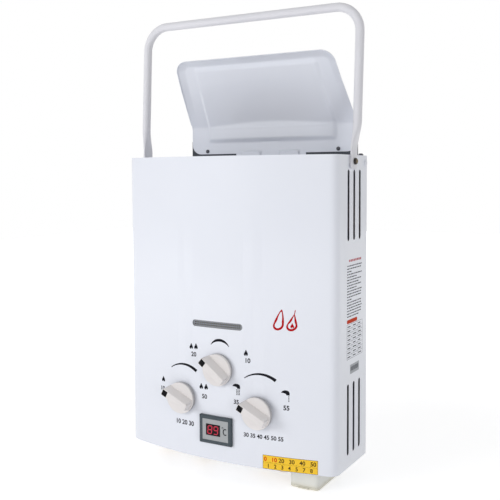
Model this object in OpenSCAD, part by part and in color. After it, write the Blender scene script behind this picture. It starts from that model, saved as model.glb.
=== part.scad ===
// Portable propane water heater, hung on a wall by the hole at the origin.
// +X is to the right seen from the front, the front faces -Y, +Z is up.
// Heights named "..._h" are measured from the cabinet's underside.

/* [Cabinet] */
// Width of the cabinet
cabinet_w = 290; // [284:1:320]
// Depth of the cabinet, from the back plate to the middle of the bowed front
cabinet_d = 109.5; // [107:0.5:130]
// Height of the cabinet
cabinet_h = 367; // [362:1:400]
// How far the front's middle stands forward of its corners
front_bow = 17; // [12:0.5:20]
// Radius of the two upright front corners
corner_r = 12; // [8:1:14]
// Thickness of the painted sheet
sheet = 1; // [0.8:0.1:1.4]
// Width of the cover's inward flanges, top and bottom
flange_w = 9; // [7:0.5:10]
// Gap between sheet pieces that fit inside one another
sheet_fit = 0.2; // [0.1:0.05:0.4]

/* [Hanging] */
// Distance of the hanging hole's middle below the cabinet's top
hang_drop = 22; // [22:1:32]
// Diameter of the hanging hole
hang_hole_d = 8; // [6:0.5:10]
// Thickness of the doubler plate round the hanging hole
doubler_t = 2; // [1.5:0.1:3]
// Distance between the two lower wall screw holes
wall_screw_pitch = 200; // [150:5:230]
// Diameter of the lower wall screw holes
wall_screw_d = 5; // [4:0.5:6]

/* [Vent slots] */
// Width of a side vent slot
vent_w = 6; // [4:0.1:7]
// Distance between two side vent slots
vent_pitch = 17.6; // [14:0.2:18]
// Distance of the rearmost vent slot from the back
vent_rear = 22.8; // [18:0.2:24]
// Length of the upper vent slots
upper_vent_l = 82; // [60:1:90]
// Distance of the upper vent slots from the top
upper_vent_gap = 17; // [15:1:30]
// Length of the lower vent slots
lower_vent_l = 84; // [60:1:90]
// Height of the lower vent slots
lower_vent_h = 16.4; // [12:0.2:30]
// Number of vent slots in a row
vent_count = 3; // [1:1:3]

/* [Flame window] */
// Length of the flame window
window_l = 70; // [50:1:90]
// Height of the flame window's opening
window_w = 8; // [5:0.5:10]
// Height of the flame window's middle above the underside
window_h = 165.8; // [163:0.2:168]
// Place of the flame window's middle, left or right of the cabinet's
window_x = -2.5; // [-4:0.5:2]
// Width of the openings in the mesh
mesh_hole = 1.6; // [1.2:0.1:1.8]
// Distance between the openings in the mesh
mesh_pitch = 2.6; // [2.4:0.1:3.5]

/* [Knobs] */
// Diameter of a knob's disc
knob_d = 38.5; // [34:0.5:40]
// Thickness of a knob's disc
knob_disc_t = 5.5; // [4:0.5:7]
// Height of a knob's grip bar above the back of its disc
knob_h = 16.8; // [14:0.2:19]
// Width of the grip bar at its top
bar_top_w = 8.4; // [7.6:0.2:10]
// Width of the grip bar at the disc
bar_foot_w = 16; // [14:0.5:17]
// Distance of the bar's end from the knob's axis
bar_point = 20.2; // [19.5:0.1:22]
// Gap between a knob and the front of the cabinet
knob_gap = 0.6; // [0.4:0.1:1.2]
// Distance of the flame knob, and of both valves, from the middle
lower_knob_x = 53.5; // [52:0.5:56]
// Height of the flame knob and of both valves
lower_knob_h = 71.5; // [69:0.5:74]
// Distance of the temperature knob from the middle
temperature_knob_x = 52.5; // [51:0.5:55]
// Height of the temperature knob
temperature_knob_h = 67; // [65:0.5:70]
// Height of the upper knob
upper_knob_h = 112.5; // [111:0.5:114]
// Pointer direction of the flame knob at rest, from the right, anticlockwise
flame_angle = 154.5; // [140:0.5:170]
// Pointer direction of the season knob at rest
season_angle = 141.5; // [130:0.5:160]
// Pointer direction of the temperature knob at rest
temperature_angle = 154; // [140:0.5:165]
// Diameter of the spindles
spindle_d = 6; // [5:0.5:6]
// Depth of the flat on a spindle
spindle_flat = 0.8; // [0.5:0.1:1]
// Clearance round a turning spindle or pin
turn_fit = 0.05; // [0.03:0.01:0.08]
// Depth of a spindle inside its knob
spindle_grip = 11; // [8:0.5:12]

/* [Display] */
// Width of the display's bezel
display_w = 44.5; // [42:0.5:48]
// Height of the display's bezel
display_l = 34; // [30:0.5:36]
// Height of the display's middle above the underside
display_h = 38.5; // [36:0.5:40]
// Place of the display's middle, left or right of the cabinet's
display_x = -3.4; // [-5:0.2:1]
// How far the bezel stands out of the front
display_proud = 4; // [3:0.2:5]
// Width of the bezel's frame
bezel_w = 4; // [3:0.2:5]
// Width of the two-digit module
digits_w = 20; // [16:0.5:22]
// Height of the two-digit module
digits_l = 14; // [12:0.5:15]

/* [Handle] */
// Outside diameter of the handle's tube
handle_tube_d = 10; // [9:0.5:11]
// Wall of the handle's tube
handle_wall = 1; // [0.8:0.1:1.5]
// Distance from the handle's pivot to the middle of its top bar
handle_reach = 180; // [165:1:200]
// Radius of the handle's two bends, on the tube's centre line
handle_bend_r = 30; // [25:1:36]
// Depth of the handle's pivot, from the back
pivot_y = 47; // [44:0.5:50]
// Distance of the handle's pivot below the top
pivot_drop = 7.4; // [7:0.1:8]
// How far the handle leans back in the stored position
handle_lean = 3.3; // [0:0.1:4]
// Thickness of the handle's flattened ends
tab_t = 2.4; // [2:0.1:3]
// Width of the handle's flattened ends
tab_w = 18; // [16:0.5:19]
// Thickness of the washer between the handle and the cabinet
washer_t = 0.6; // [0.5:0.1:1]
// Diameter of the pivot bolts
pivot_bolt_d = 5; // [4:0.5:5.5]
// Diameter of the pivot bolts' heads
pivot_head_d = 7.6; // [7.2:0.2:9]

/* [Rain cap] */
// Width of the rain cap at its bend
cap_w = 237; // [210:1:239]
// Width of the rain cap at its top edge
cap_top_w = 220; // [200:1:230]
// Distance of the rain cap's and flue's middle from the cabinet's
flue_x = 14.5; // [8:0.5:14.5]
// Height of the upright part of the rain cap
cap_foot_l = 35; // [30:0.5:40]
// Length of the leaning part of the rain cap
cap_lid_l = 97; // [80:1:100]
// How far the rain cap leans forward
cap_lean = 32; // [22:0.5:34]
// Gap between the top of the cabinet and the rain cap's side edges
cap_gap = 5.5; // [4:0.5:8]
// Thickness of the rain cap's sheet
cap_t = 0.8; // [0.6:0.1:1]
// Radius of the rain cap's top corners
cap_corner_r = 17; // [12:0.5:20]
// Radius of the rain cap's lower corners
cap_foot_r = 13; // [8:0.5:15]
// Depth of the rim along the rain cap's edge
cap_rim = 4; // [3:0.2:6]
// Width of the pressed panel in the rain cap
cap_panel_w = 178; // [150:1:180]
// Distance of the pressed panel from the rain cap's top edge
cap_panel_gap = 14; // [10:0.5:18]
// Depth of the pressed panel
cap_press = 2.6; // [2:0.1:3]
// Thickness of the bracket behind the rain cap
cap_bracket_t = 1; // [0.8:0.1:1.5]
// Distance between the rain cap's two screws
cap_screw_pitch = 189; // [184:1:200]

/* [Flue and heat exchanger] */
// Width of the flue and heat exchanger
flue_w = 166; // [150:1:170]
// Depth of the flue and heat exchanger
flue_d = 68; // [64:1:70]
// Distance of the flue from the back
flue_back = 22; // [20:0.5:23]
// Wall of the flue, the heat exchanger and the chamber
duct_t = 1; // [0.8:0.1:1.5]
// Height of the heat exchanger's underside
exchanger_h = 272; // [268:1:275]
// Height of the heat exchanger
exchanger_l = 34; // [30:1:38]
// Number of fins
fin_count = 24; // [12:1:30]
// Thickness of a fin
fin_t = 0.6; // [0.4:0.1:0.8]
// Diameter of the copper water tubes
water_tube_d = 12; // [10:0.5:13]
// Wall of the copper water tubes
water_tube_wall = 1; // [0.8:0.1:1.2]
// Distance between the exchanger's tubes
exchanger_pitch = 20; // [19:0.5:21]

/* [Burner] */
// Height of a burner bar, from its throat's axis to its ports
burner_h = 30; // [29:0.5:31]
// Number of burner bars
burner_count = 8; // [4:1:8]
// Distance between two burner bars
burner_pitch = 17; // [15:0.5:18]
// Thickness of a burner bar
burner_bar_t = 6; // [5:0.5:8]
// Side of the square gas manifold
manifold_w = 12; // [11:0.5:12]

/* [Fittings] */
// Outside diameter of the threaded pipe stubs
stub_d = 20.96; // [18:0.01:21]
// Bore of the pipe stubs
stub_bore_d = 13; // [10:0.5:14]
// Free length of the stubs below their collars
stub_l = 14; // [12:0.5:16]
// Thickness of a stub's collar
collar_t = 2; // [1.5:0.1:3]
// Diameter of a stub's collar
collar_d = 28; // [25:0.5:30]
// Width across flats of the pipe nuts
pipe_nut_w = 27; // [25:0.5:28]
// Thickness of the pipe nuts
pipe_nut_t = 6; // [4:0.5:7]
// Distance of the fittings from the back
fitting_y = 56; // [54:0.5:58]
// Distance of the water outlet from the cabinet's side
outlet_side = 28; // [26:0.5:30]
// Distance of the water outlet from the back
outlet_y = 45; // [42:0.5:50]

/* [Battery case] */
// Diameter of a battery
battery_d = 34.2; // [33:0.1:34.2]
// Length of a battery
battery_l = 61.5; // [58:0.5:62]
// Gap round a battery in the case
battery_fit = 0.4; // [0.3:0.1:0.6]
// Wall of the battery case
case_wall = 1; // [0.8:0.1:1.2]
// How far the battery case reaches below the cabinet, door included
case_drop = 24.5; // [22:0.5:28]
// Thickness of the battery door
door_t = 3; // [2.5:0.1:3.5]
// Distance of the battery case's left side from the middle
case_x = 80; // [79.5:0.5:82]
// Distance of the battery case's front from the back
case_front = 80.5; // [79:0.5:84]
// Radius of the battery case's upright corners
case_corner_r = 5; // [3:0.5:6]
// Diameter of the battery door's hinge pin
door_pin_d = 2.5; // [2:0.1:2.8]

/* [Hidden] */
$fn = 48;
eps = 0.01;

// ---- bowed outline of the cabinet
front_half = cabinet_w/2 - corner_r;
front_r = (front_half*front_half + front_bow*front_bow)/(2*front_bow);
front_cy = front_r - cabinet_d;
corner_cy = front_cy - sqrt(pow(front_r - corner_r, 2) - front_half*front_half);
corner_turn = atan2(front_cy - corner_cy, front_half);
function arc_points(cx, cy, r, a0, a1, n) =
    [for (i = [0:n]) let(a = a0 + (a1 - a0)*i/n) [cx + r*cos(a), cy + r*sin(a)]];
function cabinet_points(inset, rear = 0) = concat(
    [[-(cabinet_w/2 - inset), rear]],
    arc_points(-front_half, corner_cy, corner_r - inset, 180, 180 + corner_turn, 8),
    arc_points(0, front_cy, front_r - inset, 180 + corner_turn + 0.4, 360 - corner_turn - 0.4, 24),
    arc_points(front_half, corner_cy, corner_r - inset, 360 - corner_turn, 360, 8),
    [[cabinet_w/2 - inset, rear]]);
// Y of the front's outer face at a place left or right of the middle
function front_y(x) = front_cy - sqrt(front_r*front_r - x*x);

// ---- placing
module above_floor() translate([0, 0, -hang_h]) children();
// local X, Y and Z become X, Z and -Y: drawn as seen from the front
module facing_front(x, h, y) translate([x, y, h]) rotate([90, 0, 0]) children();
module each_side() { children(); mirror([1, 0, 0]) children(); }

// ---- shared shapes
module rounded_bar(l, w) {
    square([l - w, w], center = true);
    for (s = [-1, 1]) translate([s*(l - w)/2, 0]) circle(d = w);
}
module rounded_rect(w, l, r) {
    square([w - 2*r, l], center = true);
    square([w, l - 2*r], center = true);
    for (sx = [-1, 1], sy = [-1, 1]) translate([sx*(w/2 - r), sy*(l/2 - r)]) circle(r);
}
module ring(d_out, d_in, l) difference() {
    cylinder(d = d_out, h = l);
    translate([0, 0, -eps]) cylinder(d = d_in, h = l + 2*eps);
}
module hex_nut(across, bore, l) difference() {
    cylinder(d = across/cos(30), h = l, $fn = 6);
    translate([0, 0, -eps]) cylinder(d = bore, h = l + 2*eps);
}
module pan_screw(head_d, head_l, shank_d, shank_l) {
    cylinder(d = head_d, h = head_l*0.5);
    translate([0, 0, head_l*0.5]) cylinder(d1 = head_d, d2 = head_d*0.6, h = head_l*0.5);
    translate([0, 0, -shank_l]) cylinder(d = shank_d, h = shank_l + eps);
}
// round rod along a path whose bends are all right angles
function unit(v) = v/norm(v);
module path_elbow(corner, a, b, r, d) {
    n = cross(a, b);
    c = corner - a*r + b*r;
    multmatrix([[-b[0], a[0], n[0], c[0]], [-b[1], a[1], n[1], c[1]], [-b[2], a[2], n[2], c[2]]])
        rotate_extrude(angle = 90) translate([r, 0]) circle(d = d);
}
module path_leg(p, q, d) {
    v = q - p;
    l = norm(v);
    translate(p) rotate([0, acos(v[2]/l), atan2(v[1], v[0])]) cylinder(d = d, h = l);
}
module path_rod(points, r, d) {
    last = len(points) - 1;
    for (i = [0:last - 1]) {
        u = unit(points[i + 1] - points[i]);
        path_leg(points[i] + (i > 0 ? u*r : u*0), points[i + 1] - (i < last - 1 ? u*r : u*0), d);
    }
    for (i = [1:last - 1])
        path_elbow(points[i], unit(points[i] - points[i - 1]), unit(points[i + 1] - points[i]), r, d);
}

// ---- levels and places that several pieces share
plate_inset = sheet + sheet_fit;
top_plate_h = cabinet_h - 2*sheet;
floor_top_h = 2*sheet;
side_in = cabinet_w/2 - sheet;
pivot_h = cabinet_h - pivot_drop;
tab_in_x = cabinet_w/2 + washer_t;
tab_out_x = tab_in_x + tab_t;
handle_x = cabinet_w/2 + sheet_fit + handle_tube_d/2;
cap_face_y = -(sheet + cap_bracket_t);
bracket_foot = 8;
hang_h = cabinet_h - hang_drop;
flue_front = flue_back + flue_d;
exchanger_top_h = exchanger_h + exchanger_l;
exchanger_tube_h = exchanger_h + exchanger_l/2;
tube_y = [for (i = [0:2]) -(flue_back + flue_d/2) + (1 - i)*exchanger_pitch];
tube_stub = 8;
cold_x = flue_x + flue_w/2 + tube_stub + water_tube_d/2;
case_w = battery_d + 2*(battery_fit + case_wall);
case_d = 2*battery_d + 3*battery_fit + 2*case_wall;
case_mid_x = case_x + case_w/2;
case_mid_y = -(case_front - case_d/2);
case_bottom_h = door_t - case_drop;
contact_t = 1.5;
case_top_h = case_bottom_h + 2*contact_t + battery_l + case_wall;
valve_front = 72;
valve_back = 38;
valve_y = -(valve_front + valve_back)/2;
valve_d = valve_front - valve_back;
valve_half = 22;
boss_l = 12;
gas_left = -(lower_knob_x + 28.5);
gas_right = -(lower_knob_x - 27.5);
water_left = lower_knob_x - 5.5;
water_right = lower_knob_x + 22.5;
water_in_x = lower_knob_x + 8.5;
gas_in_x = -lower_knob_x;
rod_d = 4;
rod_travel = 3;
upper_boss_d = 16;
manifold_gap = 1;
nozzle_h = upper_knob_h + upper_boss_d/2 + manifold_gap + manifold_w/2;
burner_top_h = nozzle_h + burner_h;
chamber_bottom_h = burner_top_h + 1;
manifold_top_h = nozzle_h + manifold_w/2;
rail_h = manifold_top_h + 11;
electrode_foot_h = manifold_top_h + 3;
outlet_x = cabinet_w/2 - outlet_side;

// ================= cabinet
module vent_slots() for (i = [0:vent_count - 1]) translate([0, -(vent_rear + i*vent_pitch), 0]) {
    translate([0, 0, cabinet_h - upper_vent_gap - upper_vent_l/2]) vent(upper_vent_l);
    translate([0, 0, lower_vent_h + lower_vent_l/2]) vent(lower_vent_l);
}
module vent(l) rotate([0, 90, 0]) linear_extrude(cabinet_w + 2, center = true) rounded_bar(l, vent_w);
module knob_hole(x, h, d) facing_front(x, h, 0) cylinder(d = d, h = cabinet_d + 2);
knob_hole_d = spindle_d + 6;
cover_screw_x = cabinet_w/2 - sheet - 4.5;
cover_screw_y = -6;
module at_side_screws() each_side() translate([0, cover_screw_y, cabinet_h - 9]) rotate([0, 90, 0]) children();
module at_cover_screws() for (s = [-1, 1]) translate([s*cover_screw_x, cover_screw_y, 0]) children();

module front_cover() color("white") above_floor() difference() {
    linear_extrude(cabinet_h) polygon(cabinet_points(0));
    translate([0, 0, sheet]) linear_extrude(cabinet_h - 2*sheet) polygon(cabinet_points(sheet, 1));
    translate([0, 0, -1]) linear_extrude(cabinet_h + 2) polygon(cabinet_points(flange_w, 1));
    vent_slots();
    facing_front(window_x, window_h, -cabinet_d/2) linear_extrude(cabinet_d) rounded_bar(window_l, window_w);
    knob_hole(-lower_knob_x, lower_knob_h, knob_hole_d);
    knob_hole(temperature_knob_x, temperature_knob_h, knob_hole_d);
    knob_hole(0, upper_knob_h, knob_hole_d);
    facing_front(display_x, display_h, -cabinet_d/2) linear_extrude(cabinet_d)
        square([display_w - bezel_w, display_l - bezel_w], center = true);
    translate([0, -pivot_y, pivot_h]) rotate([0, 90, 0])
        cylinder(d = pivot_bolt_d, h = cabinet_w + 2, center = true);
    at_cover_screws() translate([0, 0, -1]) cylinder(d = screw_d, h = cabinet_h + 2);
    at_side_screws() cylinder(d = screw_d, h = cabinet_w);
}
screw_d = 3.5;

back_flange = 12;
module back_plate() color("gainsboro") above_floor() difference() {
    union() {
        translate([-side_in + sheet_fit, -sheet, 2*sheet + sheet_fit])
            cube([2*(side_in - sheet_fit), sheet, cabinet_h - 4*sheet - 2*sheet_fit]);
        each_side() translate([side_in - sheet_fit - sheet, -back_flange, 2*sheet + sheet_fit])
            cube([sheet, back_flange, cabinet_h - 4*sheet - 2*sheet_fit]);
    }
    facing_front(0, hang_h, 1) cylinder(d = hang_hole_d, h = 4);
    for (s = [-1, 1]) facing_front(s*wall_screw_pitch/2, wall_screw_h, 1) cylinder(d = wall_screw_d, h = 4);
    at_side_screws() cylinder(d = screw_d, h = cabinet_w);
}
wall_screw_h = 24;

module hanger_doubler() color("silver") above_floor() facing_front(0, hang_h, -sheet) difference() {
    linear_extrude(doubler_t) rounded_rect(60, doubler_w, 5);
    translate([0, 0, -1]) cylinder(d = hang_hole_d, h = doubler_t + 2);
}
doubler_w = 2*(hang_drop - bracket_foot - 1);

module top_plate() color("whitesmoke") above_floor() difference() {
    translate([0, 0, top_plate_h]) linear_extrude(sheet) polygon(cabinet_points(plate_inset));
    translate([flue_x, -(flue_back + flue_d/2), top_plate_h - 1]) linear_extrude(sheet + 2)
        square([flue_w, flue_d], center = true);
    translate([flue_x - bracket_w/2 - 1, cap_face_y - sheet_fit, top_plate_h - 1])
        cube([bracket_w + 2, cabinet_d, sheet + 2]);
    at_cover_screws() cylinder(d = screw_d, h = cabinet_h + 2);
}

module bottom_plate() color("whitesmoke") above_floor() difference() {
    translate([0, 0, sheet]) linear_extrude(sheet) polygon(cabinet_points(plate_inset));
    for (place = [[-outlet_x, -outlet_y], [gas_in_x, -fitting_y], [water_in_x, -fitting_y]])
        translate(place) cylinder(d = stub_d + 0.4, h = 3*sheet);
    translate([drain_x, -fitting_y, 0]) cylinder(d = drain_head_d - 4, h = 3*sheet);
    translate([case_mid_x, case_mid_y, 0]) linear_extrude(3*sheet)
        rounded_rect(case_w + 2*sheet_fit, case_d + 2*sheet_fit, case_corner_r);
    at_cover_screws() translate([0, 0, -1]) cylinder(d = screw_d, h = 4);
    for (i = [0:5]) translate([-20 + i*12 - 12, -90, 0]) linear_extrude(3*sheet) rotate(90) rounded_bar(16, 4);
}
module cover_screws() color("dimgray") above_floor() {
    at_cover_screws() {
        translate([0, 0, cabinet_h]) pan_screw(6, 2.6, screw_d, 2*sheet + 2);
        mirror([0, 0, 1]) pan_screw(6, 1.6, screw_d, 2*sheet + 2);
    }
    at_side_screws() translate([0, 0, cabinet_w/2]) pan_screw(8, 1.8, screw_d, 2*sheet + 2);
}

// ================= carry handle, leaning back about its pivot
tab_l = 22;
tube_start = 15;
module at_pivot() translate([0, -pivot_y, pivot_h - hang_h]) rotate([-handle_lean, 0, 0]) children();
module handle_path(d) {
    up = handle_reach;
    path_rod([[-handle_x, 0, tube_start], [-handle_x, 0, up], [handle_x, 0, up], [handle_x, 0, tube_start]],
        handle_bend_r, d);
}
module carry_handle() color("white") at_pivot() {
    difference() {
        handle_path(handle_tube_d);
        handle_path(handle_tube_d - 2*handle_wall);
    }
    each_side() {
        difference() {
            translate([tab_in_x, 0, tube_start/2 - 6]) rotate([0, 90, 0])
                linear_extrude(tab_t) rounded_rect(tube_start + 5, tab_w, 2);
            translate([tab_in_x - 1, 0, 0]) rotate([0, 90, 0])
                cylinder(d = pivot_bolt_d + 2*turn_fit, h = tab_t + 2);
        }
        hull() {
            translate([tab_in_x, -tab_w/2, tube_start - 4]) cube([tab_t, tab_w, 1]);
            translate([handle_x, 0, tab_l - 1]) cylinder(d = handle_tube_d, h = 1, $fn = 32);
        }
    }
}
bolt_head_t = 3;
bolt_gap = 0.05;
module at_side_bolt() each_side() translate([0, -pivot_y, pivot_h]) rotate([0, 90, 0]) children();
module handle_bolts() color("darkgoldenrod") above_floor() at_side_bolt() {
    translate([0, 0, side_in - 6]) cylinder(d = pivot_bolt_d, h = tab_out_x + bolt_gap - side_in + 6);
    translate([0, 0, tab_out_x + bolt_gap]) difference() {
        union() {
            cylinder(d = pivot_head_d, h = bolt_head_t*0.6);
            translate([0, 0, bolt_head_t*0.6])
                cylinder(d1 = pivot_head_d, d2 = pivot_head_d*0.7, h = bolt_head_t*0.4);
        }
        translate([0, 0, 1]) cylinder(d = 3.4, h = bolt_head_t, $fn = 6);
    }
}
module handle_washers() color("ivory") above_floor() at_side_bolt()
    translate([0, 0, cabinet_w/2]) ring(tab_w - 2, pivot_bolt_d, washer_t - bolt_gap);
module handle_nuts() color("silver") above_floor() at_side_bolt()
    translate([0, 0, side_in - 4.5]) hex_nut(8, pivot_bolt_d, 4.5);

// ================= rain cap
bracket_w = cap_w + 2;
cap_foot_h = cabinet_h + cap_gap;
cap_bend_h = cap_foot_h + cap_foot_l;
cap_tongue_w = 102;
// relief notch in the sheet where the rim ends
relief = 0.6;
cap_screw_h = cap_foot_h + 3.6;
// outline of the leaning part, drawn upwards from where its rim begins
function lid_points(inset) = let(r = cap_corner_r - inset, x = cap_top_w/2 - cap_corner_r,
        y = cap_lid_l - cap_corner_r) concat(
    [[cap_w/2 - inset - relief, cap_rim]], arc_points(x, y, r, 0, 90, 8),
    arc_points(-x, y, r, 90, 180, 8), [[-(cap_w/2 - inset - relief), cap_rim]]);
// outline of the upright part's lower edge
function foot_points() = concat(
    [[-cap_w/2, 2*cap_foot_r]], arc_points(-(cap_w/2 - cap_foot_r), cap_foot_r, cap_foot_r, 180, 270, 8),
    [[-cap_tongue_w/2, 0], [-cap_tongue_w/2, -cap_gap + sheet_fit],
        [cap_tongue_w/2, -cap_gap + sheet_fit], [cap_tongue_w/2, 0]],
    arc_points(cap_w/2 - cap_foot_r, cap_foot_r, cap_foot_r, 270, 360, 8), [[cap_w/2, 2*cap_foot_r]]);
module cap_foot_place() facing_front(flue_x, cap_foot_h, cap_face_y) children();
module cap_lid_place() translate([flue_x, cap_face_y, cap_bend_h]) rotate([90 + cap_lean, 0, 0]) children();
// the bent sheet from the side: [forward, up] from the bend, d in front of its back face
function bend_side(d, low, high) = [[d, low], [d, -d*tan(cap_lean/2)],
    [high*sin(cap_lean) + d*cos(cap_lean), high*cos(cap_lean) - d*sin(cap_lean)]];
module bent(w, d0, d1, low, high) translate([flue_x, cap_face_y, cap_bend_h]) rotate([90, 0, -90])
    linear_extrude(w, center = true)
        polygon(concat(bend_side(d0, low, high), [for (i = [2:-1:0]) bend_side(d1, low, high)[i]]));
cap_panel_low = 15;
panel_bottom = cap_panel_low - cap_foot_l;
module rain_cap() color("whitesmoke") above_floor() difference() {
    union() {
        bent(cap_w, 0, cap_t, -cap_foot_l - cap_gap, cap_lid_l);
        bent(cap_panel_w, cap_t/2, cap_press, panel_bottom, cap_lid_l - cap_panel_gap);
        cap_foot_place() for (s = [-1, 1]) translate([s*27.5, 1, cap_t/2])
            linear_extrude(cap_t/2 + 1.4) rounded_bar(32, 7);
        cap_lid_place() translate([0, 0, cap_t/2]) linear_extrude(cap_rim - cap_t/2) difference() {
            translate([-cap_w/2, cap_rim]) square([cap_w, cap_lid_l - cap_rim]);
            polygon(lid_points(cap_t));
        }
    }
    bent(cap_panel_w - 2*cap_t, -1, cap_press - cap_t, panel_bottom + cap_t, cap_lid_l - cap_panel_gap - cap_t);
    cap_foot_place() translate([0, 0, -2]) linear_extrude(cap_rim + 4) difference() {
        translate([-cap_w, -2*cap_gap]) square([2*cap_w, 2*cap_gap + cap_foot_r]);
        polygon(foot_points());
    }
    cap_lid_place() translate([0, 0, -2]) linear_extrude(cap_rim + 4) difference() {
        translate([-cap_w, cap_rim]) square([2*cap_w, cap_lid_l]);
        polygon(lid_points(0));
    }
    for (s = [-1, 1]) facing_front(flue_x + s*cap_screw_pitch/2, cap_screw_h, 0) cylinder(d = screw_d, h = 9);
}
module cap_bracket() color("dimgray") above_floor() difference() {
    facing_front(flue_x, cabinet_h - bracket_foot, -sheet) linear_extrude(cap_bracket_t)
        translate([-bracket_w/2, 0]) square([bracket_w, bracket_foot + cap_gap + cap_foot_r + 4]);
    for (s = [-1, 1]) facing_front(flue_x + s*cap_screw_pitch/2, cap_screw_h, 0) cylinder(d = screw_d, h = 9);
}
module cap_screws() color("dimgray") above_floor() for (s = [-1, 1])
    facing_front(flue_x + s*cap_screw_pitch/2, cap_screw_h, cap_face_y - cap_t)
        pan_screw(5, 1.8, screw_d, cap_t + cap_bracket_t + 0.5);

// ================= flame window
mesh_t = 0.6;
mesh_over = 4;
module window_mesh() color("gray") above_floor() difference() {
    translate([0, 0, window_h - window_w/2 - mesh_over]) linear_extrude(window_w + 2*mesh_over)
        intersection() {
            difference() {
                polygon(cabinet_points(sheet));
                polygon(cabinet_points(sheet + mesh_t, 1));
            }
            translate([window_x - (window_l/2 + mesh_over), -cabinet_d])
                square([window_l + 2*mesh_over, cabinet_d/2]);
        }
    rows = floor((window_w - 1)/mesh_pitch);
    columns = floor((window_l - 3)/mesh_pitch);
    facing_front(window_x, window_h, -cabinet_d/2) linear_extrude(cabinet_d)
        for (i = [0:columns - 1], j = [0:rows - 1])
            translate([(i - (columns - 1)/2)*mesh_pitch, (j - (rows - 1)/2)*mesh_pitch])
                square(mesh_hole, center = true);
}
mica_t = 1;
module mica_window() color("khaki") above_floor() facing_front(window_x, window_h, -flue_front)
    linear_extrude(mica_t) rounded_rect(window_l + 12, window_w + 10, 2);

// ================= display
bezel_back = 10;
display_y = -cabinet_d;
module display_bezel() color("slategray") above_floor() difference() {
    union() {
        difference() {
            facing_front(display_x, display_h, display_y + 1) linear_extrude(display_proud + 1)
                square([display_w, display_l], center = true);
            linear_extrude(display_h + display_l) polygon(cabinet_points(0));
        }
        facing_front(display_x, display_h, display_y + bezel_back) linear_extrude(bezel_back + 1)
            square([display_w - bezel_w - 2*sheet_fit, display_l - bezel_w - 2*sheet_fit], center = true);
    }
    facing_front(display_x, display_h, display_y - display_proud + plate_in) linear_extrude(5)
        square([display_w - 2*bezel_w, display_l - 2*bezel_w], center = true);
    facing_front(display_x, display_h, display_y + bezel_back + 1) linear_extrude(bezel_back + display_proud)
        square([display_w - 2*bezel_w - 2, display_l - 2*bezel_w - 2], center = true);
}
plate_in = 1.6;
display_plate_t = 1;
module display_plate() color("silver") above_floor()
    facing_front(display_x, display_h, display_y - display_proud + plate_in) difference() {
        linear_extrude(display_plate_t)
            square([display_w - 2*bezel_w - 2*sheet_fit, display_l - 2*bezel_w - 2*sheet_fit], center = true);
        translate([digits_x, 0, -1]) linear_extrude(3) square([digits_w, digits_l], center = true);
    }
digits_x = -3;
module digit_module() color("black") above_floor() {
    facing_front(display_x + digits_x, display_h, display_y + bezel_back - board_t)
        linear_extrude(bezel_back - board_t + display_proud - plate_in + display_plate_t + 0.2)
            square([digits_w - 2*sheet_fit, digits_l - 2*sheet_fit], center = true);
    facing_front(display_x, display_h, display_y + bezel_back) linear_extrude(board_t)
        square([display_w - 2*bezel_w - 2 - 2*sheet_fit, display_l - 2*bezel_w - 2 - 2*sheet_fit], center = true);
}
board_t = 1.6;

// ================= knobs; each is drawn with its back at z = 0 and its axis up
function knob_back_y(x) = front_y(abs(x) > knob_d/2 ? abs(x) - knob_d/2 : 0) - knob_gap;
module spindle_profile(gap) difference() {
    circle(d = spindle_d + 2*gap);
    translate([-spindle_d, spindle_d/2 - spindle_flat + gap]) square(2*spindle_d);
}
module bar_section() polygon([[-bar_foot_w/2, knob_disc_t - 1], [bar_foot_w/2, knob_disc_t - 1],
    [bar_top_w/2, knob_h], [-bar_top_w/2, knob_h]]);
bar_back_end = knob_d/2 - 1.5;
module bar_plan() polygon([[bar_point, -bar_top_w/2], [bar_point, bar_top_w/2],
    [bar_point - 6, bar_foot_w], [-bar_back_end + 4, bar_foot_w], [-bar_back_end, bar_top_w/2],
    [-bar_back_end, -bar_top_w/2], [-bar_back_end + 4, -bar_foot_w], [bar_point - 6, -bar_foot_w]]);
pointer_in = 0.4;
pointer_side = bar_top_w - 1.2;
pointer_x = bar_point - bar_top_w/2;
module pointer_shape() translate([pointer_x, 0]) square(pointer_side, center = true);
module knob(angle) rotate(angle) difference() {
    union() {
        cylinder(d = knob_d, h = knob_disc_t - 1, $fn = 96);
        translate([0, 0, knob_disc_t - 1]) cylinder(d1 = knob_d, d2 = knob_d - 2, h = 1, $fn = 96);
        intersection() {
            translate([-knob_d, 0, 0]) rotate([90, 0, 90]) linear_extrude(2*knob_d) bar_section();
            linear_extrude(knob_h + 1) bar_plan();
        }
    }
    translate([0, 0, -1]) linear_extrude(spindle_grip + 1) spindle_profile(0);
    translate([0, 0, knob_h - pointer_in]) linear_extrude(1) pointer_shape();
}
module pointer(angle) rotate(angle) translate([0, 0, knob_h - pointer_in]) linear_extrude(pointer_in + 0.1)
    pointer_shape();
module spindle(angle, l) rotate(angle) {
    linear_extrude(spindle_grip) spindle_profile(0);
    translate([0, 0, -l]) cylinder(d = spindle_d, h = l);
}
module place_knob(x, h) above_floor() facing_front(x, h, knob_back_y(x)) children();
spindle_end = 60;
function spindle_run(x) = -knob_back_y(x) - spindle_end;

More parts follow.
